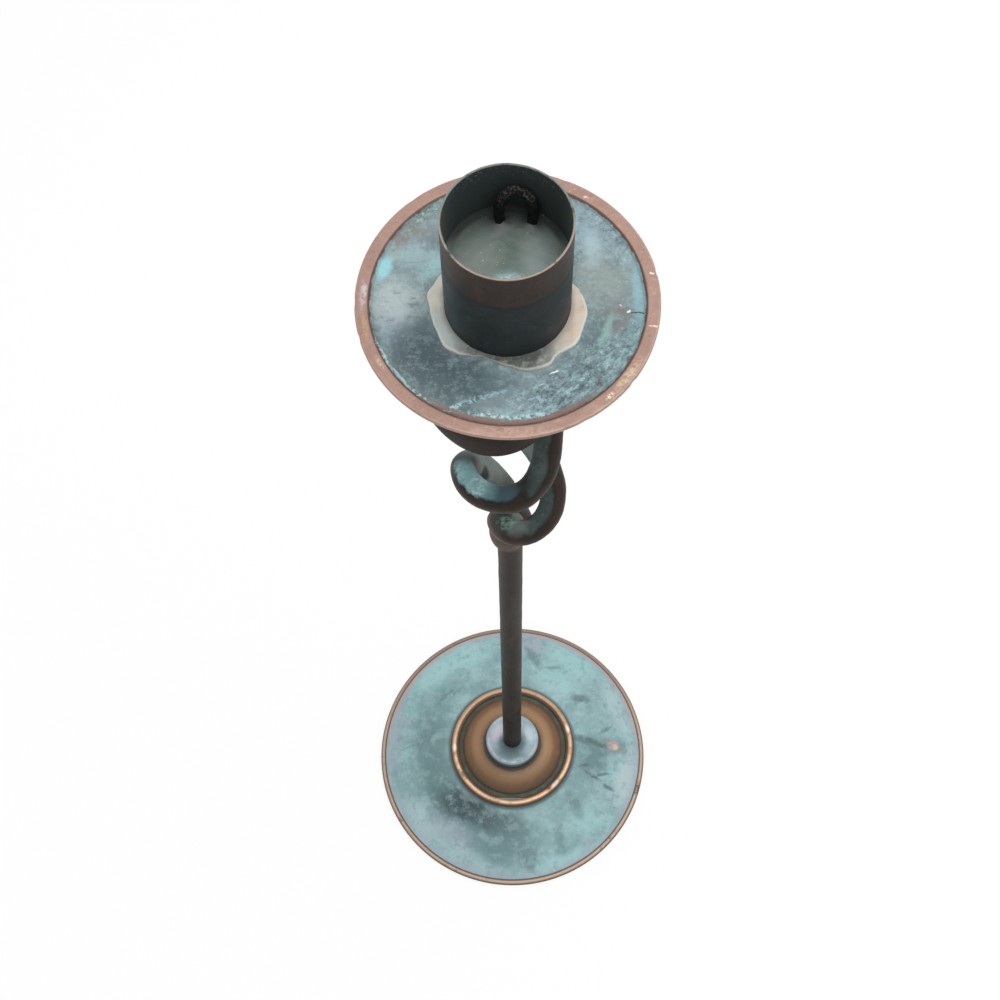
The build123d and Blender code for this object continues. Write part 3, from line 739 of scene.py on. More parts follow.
def stemFinish():
    size = stemSizes
    foot, knuckleZ = seatHigh / mm, size["knuckleZ"] / mm
    rod = Finish("darkRod", *size["ground"])
    rod.blotches(size["streaks"], stretch=(1.0, 1.0, 0.15))
    warm = rod.times(rod.within(rod.z, knuckleZ - 40, knuckleZ - 8), rod.patches(5, 0.35, 0.6, 3))
    rod.lay(warm, *size["warm"])
    bare = rod.within(rod.wavering(rod.z, 2.0, 4, 5.0), knuckleZ - 7.5, knuckleZ - 4)
    rod.lay(bare, *size["knuckle"])
    rod.lay(rod.within(rod.z, knuckleZ + 3, knuckleZ + 6), *size["knuckleTop"])
    cold = rod.cloud(4, 22, stretch=(1.0, 1.0, 0.2))
    rod.lay((rod.within(rod.z, foot + 42, foot + 4), rod.within(cold, 0.4, 0.58)), *size["cold"])
    rod.lay(rod.within(rod.z, foot + 3.5, foot + 0.5), *size["shade"])
    rod.blotches(size["blotches"])
    thread = size["threadHigh"] / mm
    rod.lay(rod.within(rod.z, thread + 4, thread + 2), *size["thread"])
    return rod.finish(*size["bump"], Specular_IOR_Level=0.1)


# spiral: two forged strands that climb round each other and run up into the bowl
spiralSizes = {
    "rodR": 3.15 * mm, "coilR": 11.35 * mm, "climb": 20.05 * mm, "sides": 40, "steps": 320,
    "forge": 0.16 * mm, "forgeSize": 5 * mm, "pit": 0.05 * mm, "pitSize": 1.3 * mm, "sink": 0.05 * mm,
    "pitMost": 0.01 * mm, "capShares": [0.98, 0.9, 0.75, 0.55, 0.3], "bowlOverlap": 0.2 * mm,
    "ground": ((48, 38, 31), 0.5, 0.15), "bump": (0.14, 0.45, 0.4),
    "top": ((63, 74, 72), 0.95, 0.62, 0.0, 0.62), "front": ((70, 95, 104), 0.85, 0.66),
    "lobe": ((134, 178, 181), 1.0, 0.66),
    "lobePale": (182, 210, 210), "border": ((32, 31, 28), 0.75),
    "behind": ((134, 148, 142), 1.0, 0.65), "slitShade": ((34, 38, 36), 0.92), "start": ((92, 73, 66), 0.9),
    "startDark": ((54, 62, 55), 0.7),
    "startMint": ((126, 158, 148), 0.8, None, None, 0.8), "startPale": ((112, 124, 122), 0.6),
    # where patina lies on the left and on the right: the side that it faces, and how far it reaches round
    "patinaSides": [((0.0, 0.28, 0.96), 0.62), ((-0.7, -0.35, 0.62), 0.50)], "patinaSoft": 0.26,
    "places": {  # middle and half sizes in mm, turn in degrees, softness
        "behind": ((-3.0, 6.0, 247.0), (10.0, 6.0, 13.0), 0, 0.5),
        "slitShade": ((-5.6, 1.9, 243.3), (1.5, 1.3, 5.0), 0, 0.35),
        "front": ((-4.0, -12.0, 263.0), (8.0, 3.6, 7.0), -12, 0.5),
        "lobe": ((-9.0, -7.4, 262.0), (6.4, 4.6, 7.0), -48, 0.5),
        "streak": ((-7.2, -9.4, 263.0), (1.9, 4.8, 4.0), -24, 0.5),
        "left": ((-12.0, -5.0, 261.0), (2.2, 3.2, 4.0), 0, 0.6),
        "start": ((-4.0, -5.5, 222.5), (4.0, 4.5, 6.0), 0, 0.5),
        "startDark": ((-3.6, -3.2, 229.5), (3.4, 3.2, 3.4), 0, 0.5),
        "startPale": ((1.8, -5.4, 230.0), (2.8, 2.2, 3.0), 0, 0.5),
        "startMint": ((-0.4, -3.6, 228.5), (2.4, 2.0, 3.0), 0, 0.5),
    },
    "blotches": [
        (5, 1, 0.45, 0.62, (62, 48, 41), 0.6), (2.4, 4, 0.54, 0.68, (34, 33, 30), 0.6),
    ],
    "behindBlotches": [(2.0, 27, 0.46, 0.32, (63, 74, 72), 0.4, 0.4), (1.0, 29, 0.54, 0.7, "pale", 0.4, 0.7)],
    "lobeBlotches": [(3.0, 33, 0.48, 0.64, (94, 136, 144), 0.6)],
    "topBlotches": [
        (6, 8, 0.46, 0.62, (80, 95, 92), 0.65), (3, 12, 0.52, 0.66, (50, 60, 58), 0.55),
        (1.3, 15, 0.58, 0.72, (112, 128, 122), 0.45, 0.75), (0.9, 19, 0.43, 0.30, (40, 46, 45), 0.5, 0.35),
    ],
}
# angles in degrees; each lift and draw has its size, where it starts and how far it takes
strandOne = {
    "seed": 2.0, "start": 178, "end": 558, "coreR": 2.45 * mm, "fromZ": 211.25 * mm, "shift": (0, 0),
    "flareAt": 168, "flareOver": 267.5, "lifts": [(40.2 * mm, 325, 284)], "draws": [(5.0 * mm, 470, 120)],
}
strandTwo = {
    "seed": 7.0, "start": 50, "end": 436, "coreR": 3.5 * mm, "fromZ": 206.15 * mm,
    "shift": (0.68 * mm, -0.55 * mm), "flareAt": -15.5, "flareOver": 253,
    "lifts": [(40.55 * mm, 25.4, 196.2), (10.6 * mm, 255.5, 150), (14.0 * mm, 365, 100)],
    "draws": [(3.6 * mm, 254, 120), (2.5 * mm, 380, 90)],
}
bowlLow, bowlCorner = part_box("support_bowl")
bowlSizes = {
    "wall": 1.0 * mm, "power": 2.2, "steps": 40, "sides": 128,
    "ground": ((36, 25, 16), 0.6, 0.0), "bump": (0.1, 0.6, 0.4, 1),
    "blotches": [
        (9, 4, 0.45, 0.62, (52, 40, 32), 0.6), (5, 8, 0.54, 0.68, (34, 31, 26), 0.6),
        (1.4, 12, 0.60, 0.72, (62, 51, 44), 0.4, 0.6), (1.0, 15, 0.43, 0.30, (26, 22, 18), 0.4, 0.4),
    ],
}
bowlR, bowlDeep, bowlRimZ = (bowlCorner.x - bowlLow.x) / 2, bowlCorner.z - bowlLow.z, bowlCorner.z
bowlAxis = ((bowlLow.x + bowlCorner.x) / 2, (bowlLow.y + bowlCorner.y) / 2)


def strandPoint(strand, angle):
    flare = ease((angle - strand["flareAt"]) / strand["flareOver"])
    out = strand["coreR"] + (spiralSizes["coilR"] - strand["coreR"]) * flare
    height = strand["fromZ"] + spiralSizes["climb"] * angle / 360
    for depth, at, over in strand["draws"]:
        out -= depth * ease((angle - at) / over)
    for rise, at, over in strand["lifts"]:
        height += rise * ease((angle - at) / over)
    turn = math.radians(angle)
    shiftX, shiftY = strand["shift"]
    return Vector((shiftX * flare + out * math.cos(turn), shiftY * flare + out * math.sin(turn), height))


def bowlCurve(r, deep):
    size = bowlSizes
    points, power = [], 2 / size["power"]
    for step in range(size["steps"]):
        swing = math.radians(90 * step / size["steps"])
        points.append((r * math.cos(swing) ** power, bowlRimZ - deep * math.sin(swing) ** power))
    return points + [(0.0, bowlRimZ - deep)]


def makeSpiral():
    size = spiralSizes
    # the strands are cut where they meet the bowl
    inside, above = size["bowlOverlap"], bowlRimZ + size["rodR"]
    cutterOutline = bowlCurve(bowlR - inside, bowlDeep - inside) + [(0.0, above), (bowlR, above)]
    vertices, faces = turned(cutterOutline, bowlSizes["sides"], None, bowlAxis)
    cutter = makePiece("bowlCutter", vertices, faces, [])
    strands = []
    for name, node, strand in (
        ("strandOne", "spiral_strand_a", strandOne), ("strandTwo", "spiral_strand_b", strandTwo),
    ):
        seed, start, sweep = strand["seed"], strand["start"], strand["end"] - strand["start"]
        points = [strandPoint(strand, start + sweep * n / size["steps"]) for n in range(size["steps"] + 1)]
        first = (points[1] - points[0]).normalized()
        cap = [points[0] - first * size["rodR"] * share for share in size["capShares"]]
        radii = [size["rodR"] * math.sqrt(1 - share * share) for share in size["capShares"]]
        radii += [size["rodR"]] * len(points)

        def forged(place, out, number, angle, seed=seed):
            push = swell(place, size["forgeSize"], size["forge"], seed)
            push += min(swell(place, size["pitSize"], size["pit"], seed), size["pitMost"])
            return place + out * (push - size["sink"])

        vertices, faces = bentTube(cap + points, radii, size["sides"], forged)
        piece = makePiece(name, vertices, faces, [node], sharpAngle=50)
        boolean(piece, cutter, "DIFFERENCE")
        strands.append(piece)
    bpy.data.objects.remove(cutter)
    return strands


def strandFinish(name, seed):
    size = spiralSizes
    rod = Finish(name, *size["ground"])
    rod.blotches(size["blotches"])
    wave = rod.times(rod.math("SUBTRACT", rod.cloud(4.5, seed, detail=3, rough=0.5), 0.5), 0.6)
    wave = rod.math("SUBTRACT", wave, rod.times(rod.within(rod.z, 262, 240), 0.12))
    left, right = (rod.facing(side, level, wave, size["patinaSoft"]) for side, level in size["patinaSides"])
    up = rod.mixed(rod.within(rod.x, 2.5, 5.5), left, right)
    rod.lay(up, *size["top"])
    rod.blotches(size["topBlotches"], up)
    rod.lay((rod.within(up, 0.0, 0.25), rod.within(up, 1.0, 0.4)), *size["border"])
    wander = rod.ragged(1.6, 4, seed)
    close = rod.ragged(0.8, 1.5, seed + 3)

    def spot(name, ragged):
        return rod.spot(ragged, *size["places"][name], flat=False)

    # the inner side of the left turn and of the crossing is a lighter grey-green
    behind = rod.times(spot("behind", wander), 0.85)
    rod.lay(behind, *size["behind"])
    rod.blotches(size["behindBlotches"], behind)
    # painted shade in the crease between the left turn and the band behind
    rod.lay(spot("slitShade", rod.ragged(0.3, 1.5, seed)), *size["slitShade"])
    # blue-green lobe of the left turn with a flaky pale streak
    patina = rod.within(up, 0.3, 1.0)
    rod.lay((spot("front", wander), patina), *size["front"])
    lobe = rod.times(spot("lobe", wander), patina)
    rod.lay(lobe, *size["lobe"])
    rod.blotches(size["lobeBlotches"], lobe)
    flakes = rod.patches(1, 0.44, 0.55, seed + 6, detail=5, rough=0.72)
    rod.lay((spot("streak", close), flakes, up), size["lobePale"], 0.95, height=0.85)
    rod.lay((spot("left", close), flakes, up), size["lobePale"], 0.6, height=0.8)
    # the lower start is bare like the knuckle, with a mint trace beside it
    for name, ragged in (("start", wander), ("startDark", wander), ("startPale", close)):
        rod.lay(spot(name, ragged), *size[name])
    mint = rod.patches(1.4, 0.4, 0.6, 9, detail=5, rough=0.7)
    rod.lay((spot("startMint", close), mint), *size["startMint"])
    return rod.finish(*size["bump"], seed, Specular_IOR_Level=0.2)


def makeBowl():
    size = bowlSizes
    inside = bowlCurve(bowlR - size["wall"], bowlDeep - size["wall"])
    outline = bowlCurve(bowlR, bowlDeep) + list(reversed(inside))
    vertices, faces = turned(outline, size["sides"], None, bowlAxis)
    return makePiece("supportBowl", vertices, faces, ["support_bowl"])


def bowlFinish():
    size = bowlSizes
    coat = Finish("darkBowl", *size["ground"])
    coat.blotches(size["blotches"])
    return coat.finish(*size["bump"], Specular_IOR_Level=0.05)


# drip pan: flat floor, short slope and a flange of bare copper
panR, panLow, panHigh = reach("drip_pan")
cupR, cupLow, cupHigh = reach("candle_cup")
panSizes = {
    "sheet": 1.0 * mm, "flange": 2.35 * mm, "slope": 1.0 * mm, "boreR": 2.25 * mm, "sides": 256,
    "floorSteps": 40, "flangeRings": (0.35, 0.7),
    "rounding": 0.35 * mm, "floorBend": 0.6 * mm, "flangeBend": 0.5 * mm, "underBend": 0.3 * mm,
    "dent": 0.10 * mm, "dentSize": 7 * mm, "dentFromCup": 1.2 * mm, "dentToSlope": 0.5 * mm,
    "topSkin": 0.1 * mm, "warp": 0.12 * mm, "warpSize": 14 * mm, "nickReach": 1.2 * mm,
    "nicks": [  # degrees, half width in degrees, depth in mm
        (12, 1.4, 0.16), (68, 1.6, 0.12), (-36, 1.2, 0.18), (-60, 2, 0.12), (196, 1.4, 0.15),
        (181, 1.6, 0.12), (130, 1.5, 0.1),
    ],
    "ground": ((100, 118, 122), 0.62, 0.03), "bump": (0.2, 0.5, 0.3, 2, 4, 0.65),
    "line": ((96, 74, 65), 1.0, 0.55, 0.2, 0.5), "flangeTone": ((152, 121, 109), 1.0, 0.48, 0.25, 0.5),
    "frontStrip": ((124, 97, 87), 0.9), "edge": ((180, 148, 132), 0.6, 0.42),
    "under": ((66, 51, 43), 0.95, 0.55, 0.3), "underGreen": ((58, 64, 60), 0.7),
    "blotches": [
        (9, 1, 0.44, 0.60, (120, 139, 143), 0.9), (6, 5, 0.52, 0.66, (94, 112, 116), 0.65),
    ],
    "mottle": [
        (3.0, 40, 0.50, 0.62, "pale", 0.30), (2.2, 43, 0.46, 0.34, "slate", 0.35),
        (0.9, 8, 0.53, 0.68, "pale", 0.50, 0.68), (0.75, 11, 0.46, 0.32, "slate", 0.50, 0.34),
    ],
    "grain": [
        (2.0, 46, 0.50, 0.64, "pale", 0.16), (0.8, 49, 0.54, 0.68, "pale", 0.22, 0.7),
        (0.7, 52, 0.45, 0.32, "slate", 0.30, 0.34),
    ],
    "marks": [
        ("pale cloud on the left", 151, 20.4, 6, 2.6, 8, (150, 175, 180), 0.75),
        ("teal beside the cup", 153, 16, 3.2, 1.5, 90, "mint", 0.7),
        ("chalky cloud", 180, 20.4, 5, 4.4, 90, (172, 184, 184), 0.85),
        ("pale below the cloud", 196, 21.5, 4, 2.4, 90, "lilac", 0.5),
        ("slate on the left", 204, 16.5, 5, 4, 90, "slate", 0.75),
        ("slate in front", 221, 20.0, 8, 4.6, 90, (60, 77, 83), 1.0),
        ("slate further round", 243, 18, 8, 3.8, 90, (62, 80, 86), 1.0),
        ("green dark in front", 237, 22, 6, 2.4, 90, (74, 92, 94), 0.8),
        ("slate under the spill", 265, 17.5, 5, 1.8, 90, (88, 108, 112), 0.7),
        ("brown at the upper left", 142, 24, 5, 1.8, 90, "brown", 0.7),
        ("grey at the upper left", 132, 22, 4.4, 2.6, 90, (122, 134, 136), 0.7),
        ("blue at the upper right", 47, 22, 6.4, 4.2, 90, (132, 154, 164), 0.7),
        ("pale at the right", 33, 19, 4.4, 1.6, 60, "pale", 0.6),
        ("grey at the right", 14, 18, 5.4, 4.8, 90, (130, 142, 138), 0.9),
        ("brown at the right", 352, 20.6, 3.2, 2.6, 90, (106, 104, 103), 0.8),
        ("dark round the spill", 335, 17.2, 4.2, 1.6, 90, "slate", 0.6),
        ("green streak", 342, 19.2, 3.8, 0.7, 90, "green", 0.8),
        ("blue grey patch", 264, 20.6, 3.4, 1.4, -70, (112, 128, 134), 0.9),
        ("band at the right edge", 3, 24.6, 8, 1.2, 90, (122, 160, 166), 0.8),
        ("turquoise spot", 163, 24.2, 2.5, 1.3, 90, "turquoise", 0.95),
    ],
    # areas of flaking crust, and thin lines of it
    "crusts": [
        ("brightest", 283, 21.4, 4.6, 2.8, 90, (146, 174, 180), 0.85),
        ("front right", 300, 20.4, 6.4, 3.8, 90, (138, 170, 178), 0.85),
        ("right", 322, 21.6, 7, 4.2, 90, (138, 168, 172), 0.85),
        ("far right", 342, 23.8, 5, 1.8, 90, (132, 166, 170), 0.8),
        ("front rim", 298, 23.5, 7, 1.3, 90, (128, 158, 162), 0.8),
        ("upper right", 42, 24.6, 7, 1.8, 90, (140, 164, 170), 0.8),
        ("upper left", 127, 25, 4.4, 1.0, 90, (148, 184, 172), 0.9),
    ],
    "strokes": [
        ("streak", 255, 21.0, 5.4, 0.5, -56, (142, 174, 180)),
        ("end of the streak", 246, 24, 1.6, 0.55, -40, "pale"),
        ("upper streak", 258, 20.0, 4.2, 0.45, -62, (134, 164, 170)),
        ("line at the lower left", 207, 25.3, 3.4, 0.32, 90, (184, 208, 208)),
        ("its second length", 219, 25.1, 3.2, 0.30, 90, (156, 182, 182)),
        ("its third length", 230, 25.0, 2.6, 0.36, 90, (170, 192, 192)),
        ("front flakes", 263, 23.7, 5.0, 0.42, 90, (176, 206, 210)),
        ("more front flakes", 279, 23.9, 4.0, 0.5, 90, (160, 192, 198)),
        ("tick", 300, 17, 0.9, 0.2, 78, (236, 240, 238)),
        ("second tick", 290, 18.3, 0.5, 0.15, 80, (190, 208, 208)),
        ("tick at the right", 355, 22.6, 0.38, 0.18, 40, (232, 238, 236)),
        ("small tick", 358, 21.1, 0.22, 0.14, 0, (220, 224, 220)),
        ("seam", 354.5, 24.4, 1.5, 0.12, 0, (44, 56, 60)),
    ],
    "flangeBlotches": [
        (6, 21, 0.45, 0.62, (138, 107, 96), 0.6), (1.6, 25, 0.55, 0.70, (174, 146, 134), 0.5, 0.6),
        (0.8, 27, 0.44, 0.30, (114, 88, 79), 0.5, 0.4),
    ],
    "flangeMarks": [
        ("lilac patch", 178.5, 26.9, 2.8, 0.6, 90, (190, 187, 194), 0.9),
        ("ochre", 192.5, 26.8, 2.6, 0.5, 90, (188, 158, 116), 0.75),
        ("second ochre", 210, 26.7, 1.3, 0.4, 90, (200, 174, 134), 0.75),
        ("cream", 324, 27.1, 3.4, 0.8, 90, (190, 172, 142), 0.7),
        ("second cream", 313, 27.3, 1.0, 0.5, 90, (222, 206, 188), 0.85),
        ("nick", 12, 27.5, 0.42, 0.22, -20, (230, 218, 212), 0.9),
        ("second nick", 348.5, 27.4, 0.9, 0.2, 0, (222, 204, 194), 0.9),
        ("third nick", 56.5, 26.8, 0.6, 0.25, 90, (214, 200, 192), 0.8),
        ("pink in front", 272, 27.2, 11, 1.0, 90, (176, 143, 131), 0.6),
        ("dull on the left", 190, 27.2, 13, 1.3, 90, (140, 110, 98), 0.4),
    ],
}


def makePan():
    size = panSizes
    flangeInR = panR - size["flange"]
    floorR = flangeInR - size["slope"]
    underZ = panHigh - size["sheet"]
    corners = [
        (size["boreR"] + (floorR - size["boreR"]) * step / size["floorSteps"], cupLow, 0)
        for step in range(size["floorSteps"])
    ]
    corners += [(floorR, cupLow, size["floorBend"]), (flangeInR, panHigh, size["flangeBend"])]
    corners += [(flangeInR + size["flange"] * share, panHigh, 0) for share in size["flangeRings"]]
    corners += [
        (panR, panHigh, size["rounding"]), (panR, underZ, size["rounding"]),
        (flangeInR, underZ, size["underBend"]), (floorR, panLow, size["underBend"]),
        (floorR / 2, panLow, 0), (size["boreR"], panLow, 0),
    ]

    def worn(point, r, z, angle):
        if r > panR - size["nickReach"]:
            for at, wide, deep in size["nicks"]:
                away = (math.degrees(angle) - at + 180) % 360 - 180
                point.xy *= 1 - deep * mm / panR * math.exp(-(away / wide) ** 2)
        onFloor = cupR + size["dentFromCup"] < r < floorR - size["dentToSlope"]
        if onFloor and z > cupLow - size["topSkin"]:
            point.z += swell(point, size["dentSize"], size["dent"])
        if r > floorR:
            point.z += swell((point.x, point.y, 0), size["warpSize"], size["warp"])
        return tuple(point)

    vertices, faces = turned(roundedCorners(corners), size["sides"], worn)
    return makePiece("dripPan", vertices, faces, ["drip_pan"])


def panFinish():
    size = panSizes
    flangeInR = (panR - size["flange"]) / mm
    pan = Finish("panVerdigris", *size["ground"])
    pan.blotches(size["blotches"])
    wide, close = pan.ragged(2.2, 4.5, 2.0), pan.ragged(0.6, 1.2, 4.0)
    pan.blotches(size["mottle"])
    patchy = pan.patches(2.2, 0.30, 0.50, 61, detail=6, rough=0.72, stretch=(0.7, 1.3, 1.0))
    pan.marks(size["marks"], wide, close, patchy)
    pan.blotches(size["grain"])
    # crust: pale flakes with dark gaps and a few white tips
    flake = pan.cloud(1.3, 30, detail=6, rough=0.78, stretch=(0.8, 1.25, 1.0), turn=36)
    pale, gaps = pan.within(flake, 0.48, 0.56), pan.within(flake, 0.45, 0.37)
    tips = pan.within(flake, 0.60, 0.67)
    for name, degrees, r, long, width, turn, tone, strength in size["crusts"]:
        area = pan.times(pan.polarSpot(wide, degrees, r, long, width, turn, 0.55), strength)
        pan.lay((area, gaps), "ink", 0.75, height=0.3)
        pan.lay((area, pale), tone, rough=0.75, height=0.8, label=name)
        pan.lay((area, tips), "white", height=1.0)
    # dark edge, then the flange in dull pink copper
    near = pan.wavering(pan.r, 0.45, 1.8, 13.0)
    strip = pan.within(near, flangeInR - 2.0, flangeInR - 1.6)
    pan.lay((strip, pan.sector(272, 34, 12)), *size["frontStrip"])
    line = pan.within(near, flangeInR - 0.6, flangeInR - 0.35)
    pan.lay(line, *size["line"])
    flange = pan.within(pan.r, flangeInR - 0.25, flangeInR + 0.1)
    pan.lay(flange, *size["flangeTone"])
    pan.blotches(size["flangeBlotches"], flange)
    worn = pan.times(flange, pan.patches(0.8, 0.40, 0.55, 51, rough=0.7))
    pan.marks(size["flangeMarks"], close, close, where=worn)
    edge = pan.times(pan.within(pan.r, panR / mm - 0.45, panR / mm - 0.2), pan.patches(3, 0.3, 0.5, 29))
    pan.lay(edge, *size["edge"])
    for name, degrees, r, long, width, turn, tone in size["strokes"]:
        stroke = pan.polarSpot(close, degrees, r, long, width, turn, 0.4)
        broken = pan.patches(0.8, 0.42, 0.52, 36, detail=6, rough=0.8) if width > 0.3 else 1.0
        pan.lay((stroke, broken), tone, 0.95, rough=0.75, height=0.9, label=name)
    under = pan.facing(downward, 0.3)
    pan.lay(under, *size["under"])
    pan.lay((under, pan.patches(8, 0.48, 0.64, 34)), *size["underGreen"])
    return pan.finish(*size["bump"])


# candle cup: thin rolled wall, browned by the flame under its rim
cupSizes = {
    "wall": 0.4 * mm, "floor": 0.6 * mm, "edge": 0.1 * mm, "boreR": 2.25 * mm, "sides": 192, "steps": 40,
    "wear": 0.14 * mm, "wearSize": 0.9, "wearLeast": 0.02 * mm, "wearFrom": 8 * mm, "wearOver": 19 * mm,
    "rimHigh": 0.3 * mm, "rimWear": 0.22 * mm, "rimWearSize": 0.35, "heatDeep": 9.2,
    "ground": ((40, 46, 47), 0.5, 0.15), "bump": (0.1, 0.5, 0.4, 2, 4, 0.65),
    "heat": ((52, 42, 36), 1.0, 0.45, 0.25), "line": ((28, 28, 26), 0.6), "leftTarnishAndLight": ((62, 76, 78), 0.9),
    "inside": ((61, 69, 69), 0.92, 0.6, 0.05), "insideFront": ((80, 91, 88), 0.7),
    "rimFront": ((178, 150, 130), 1.0, 0.4, 0.3), "rimRear": ((124, 128, 122), 0.9, 0.45, 0.2),
    "foot": ((30, 35, 36), 0.5), "soot": ((142, 146, 140), 0.7, None, None, 0.8),
    "blotches": [
        (5, 3, 0.45, 0.62, (32, 37, 40), 0.7), (3, 6, 0.54, 0.68, (52, 66, 65), 0.5, 0.6),
        (1.1, 9, 0.56, 0.70, (66, 78, 77), 0.45, 0.65), (0.8, 12, 0.45, 0.30, (26, 29, 31), 0.5, 0.4),
    ],
    "heatBlotches": [
        (4, 13, 0.48, 0.64, (68, 50, 41), 0.7), (2.2, 16, 0.50, 0.66, (40, 34, 30), 0.6),
        (0.9, 18, 0.58, 0.72, (80, 66, 57), 0.4, 0.6),
    ],
    "insideBlotches": [
        (4, 41, 0.50, 0.66, (58, 69, 66), 0.5), (1.2, 44, 0.56, 0.70, (76, 86, 82), 0.4, 0.65),
    ],
}


def makeCup():
    size = cupSizes
    inR, floorZ = cupR - size["wall"], cupLow + size["floor"]
    outline = [(size["boreR"], cupLow), (cupR - size["edge"], cupLow)]
    for step in range(size["steps"] + 1):
        share = step / size["steps"]
        outline.append((cupR, cupLow + size["edge"] + (cupHigh - cupLow - 2 * size["edge"]) * share))
    outline += [(cupR - size["edge"], cupHigh), (inR + size["edge"], cupHigh)]
    for step in range(size["steps"] + 1):
        share = step / size["steps"]
        outline.append((inR, cupHigh - size["edge"] - (cupHigh - floorZ - size["edge"]) * share))
    outline.append((size["boreR"], floorZ))

    def worn(point, r, z, angle):
        around = (math.cos(angle), math.sin(angle), 0)
        if r > inR - size["edge"]:
            share = ease((z - cupLow - size["wearFrom"]) / size["wearOver"])
            wear = abs(swell(around, size["wearSize"], size["wear"])) + size["wearLeast"]
            point.xy *= 1 - share * wear / r
        if z > cupHigh - size["rimHigh"]:
            point.z -= abs(swell(around, size["rimWearSize"], size["rimWear"]))
        return tuple(point)

    vertices, faces = turned(outline, size["sides"], worn)
    return makePiece("candleCup", vertices, faces, ["candle_cup"])


def cupFinish():
    size = cupSizes
    rimZ, outR = cupHigh / mm, cupR / mm
    wallR = outR - size["wall"] / 2 / mm
    coat = Finish("cupTarnish", *size["ground"])
    coat.blotches(size["blotches"])
    outside = coat.within(coat.r, wallR - 0.08, wallR + 0.04)
    # lighter patchy tarnish on the left side, partly painted light where the lamp leaves that side darker
    coat.lay((coat.sector(188, 26, 18), coat.patches(4, 0.3, 0.6, 51), outside), *size["leftTarnishAndLight"])
    border = coat.wavering(coat.z, 1.3, 5, 2.0)
    heatZ = rimZ - size["heatDeep"]
    heat = coat.times(coat.within(border, heatZ - 0.5, heatZ + 0.9), outside)
    coat.lay(heat, *size["heat"])
    coat.blotches(size["heatBlotches"], heat)
    coat.lay((coat.band(border, heatZ - 0.9, heatZ - 0.1, 0.4), outside), *size["line"])
    inside = coat.within(coat.r, wallR + 0.04, wallR - 0.08)
    coat.lay(inside, *size["inside"])
    sides = coat.within(coat.y, 7.5, 1.0)
    coat.lay((inside, sides), *size["insideFront"])
    coat.blotches(size["insideBlotches"], inside)
    grains = coat.patches(0.6, 0.56, 0.66, 6, rough=0.7)
    coat.lay((inside, coat.within(coat.z, rimZ - 4.5, rimZ - 1), grains), *size["soot"])
    bared = coat.patches(1.6, 0.30, 0.48, 19, rough=0.65)
    top = coat.times(coat.within(coat.z, rimZ - 0.35, rimZ - 0.15), bared)
    coat.lay(top, *size["rimRear"])
    front = coat.times(top, coat.within(coat.r, wallR - 0.05, wallR + 0.1), coat.within(coat.y, 3.0, -3.0))
    coat.lay(front, *size["rimFront"])
    # painted shade at the foot of the cup
    coat.lay((coat.within(coat.z, cupLow / mm + 3.4, cupLow / mm + 0.5), outside), *size["foot"])
    return coat.finish(*size["bump"], Specular_IOR_Level=0.3)


# wax left in the cup, with the charred wick bent over in it
waxR, waxLow, waxHigh = reach("wax_stub")
waxSizes = {
    "top": 341.7 * mm, "meniscus": 0.35 * mm, "meniscusWide": 1.2 * mm, "sink": 0.02 * mm,
    "headR": 3.62 * mm, "headHigh": 1.92 * mm, "sides": 160, "steps": 48, "closer": 0.8,
    "well": 0.5 * mm, "wellR": 1.5 * mm,
    "wave": 0.22 * mm, "waveSize": 6 * mm, "grain": 0.06 * mm, "grainSize": 1.8 * mm,
    "ground": ((88, 100, 94), 0.42), "bump": (0.1, 0.9, 0.5, 2), "centre": (72, 92, 83),
    "right": (130, 144, 142), "left": (98, 107, 99),
    "waxGlint": ((166, 190, 200), 0.95, None, None, 0.7), "glintHaze": ((112, 136, 132), 0.7),
    "rearShadow": ((50, 58, 55), 0.85), "wall": ((56, 66, 63), 0.6),
    "char": ((44, 47, 45), 0.7), "dust": ((176, 178, 158), 0.6, None, None, 0.7),
    "ring": ((34, 40, 38), 0.9, 0.9),
    "areas": [  # tone, middle and half sizes in mm, turn in degrees
        ("centre", (0.8, -1.5, 0.0), (2.8, 6.2, 1.0), 0), ("right", (6.0, -0.4, 0.0), (2.8, 5.0, 1.0), 20),
        ("left", (-5.8, -0.6, 0.0), (3.4, 5.4, 1.0), -20),
    ],
    "glintPlace": (0.3, -4.0, 0.0), "glintHalf": (2.6, 1.1, 1.0), "hazeHalf": (3.6, 2.0, 1.0),
    "charHalf": (1.9, 1.9, 1.0),
    "blotches": [
        (8, 3, 0.42, 0.62, (90, 106, 99), 0.5), (1.6, 12, 0.50, 0.66, (114, 125, 118), 0.3),
        (0.9, 15, 0.45, 0.32, (84, 96, 90), 0.3),
    ],
}
wickSizes = {
    "r": 0.95 * mm, "sides": 20, "steps": 150, "feet": [(-1.3, 8.1), (4.4, 7.8)],
    "route": [  # in mm from the middle of the wax
        (-1.3, 8.1, -2.0), (-1.35, 8.2, 0), (-1.5, 8.8, 3.0), (-0.9, 9.45, 5.7), (0.3, 9.8, 7.1),
        (1.7, 9.85, 7.35), (3.1, 9.7, 6.7), (4.3, 9.2, 4.9), (4.7, 8.6, 2.6), (4.5, 8.0, 0.3),
        (4.4, 7.8, -2.0),
    ],
    "thin": 0.9, "thicker": 0.1, "waves": 9, "ply": 0.09 * mm, "plies": 3, "twist": 0.22,
    "fray": 0.24 * mm, "fraySize": 0.9 * mm, "frayFine": 0.14 * mm, "frayFineSize": 0.3 * mm,
    "ground": ((25, 23, 23), 0.95), "bump": (0.25, 0.3, 1.2, 1, 4, 0.7),
    "ash": ((96, 92, 91), 0.85, None, None, 0.8), "fibre": ((56, 52, 51), 0.55, None, None, 0.7),
}


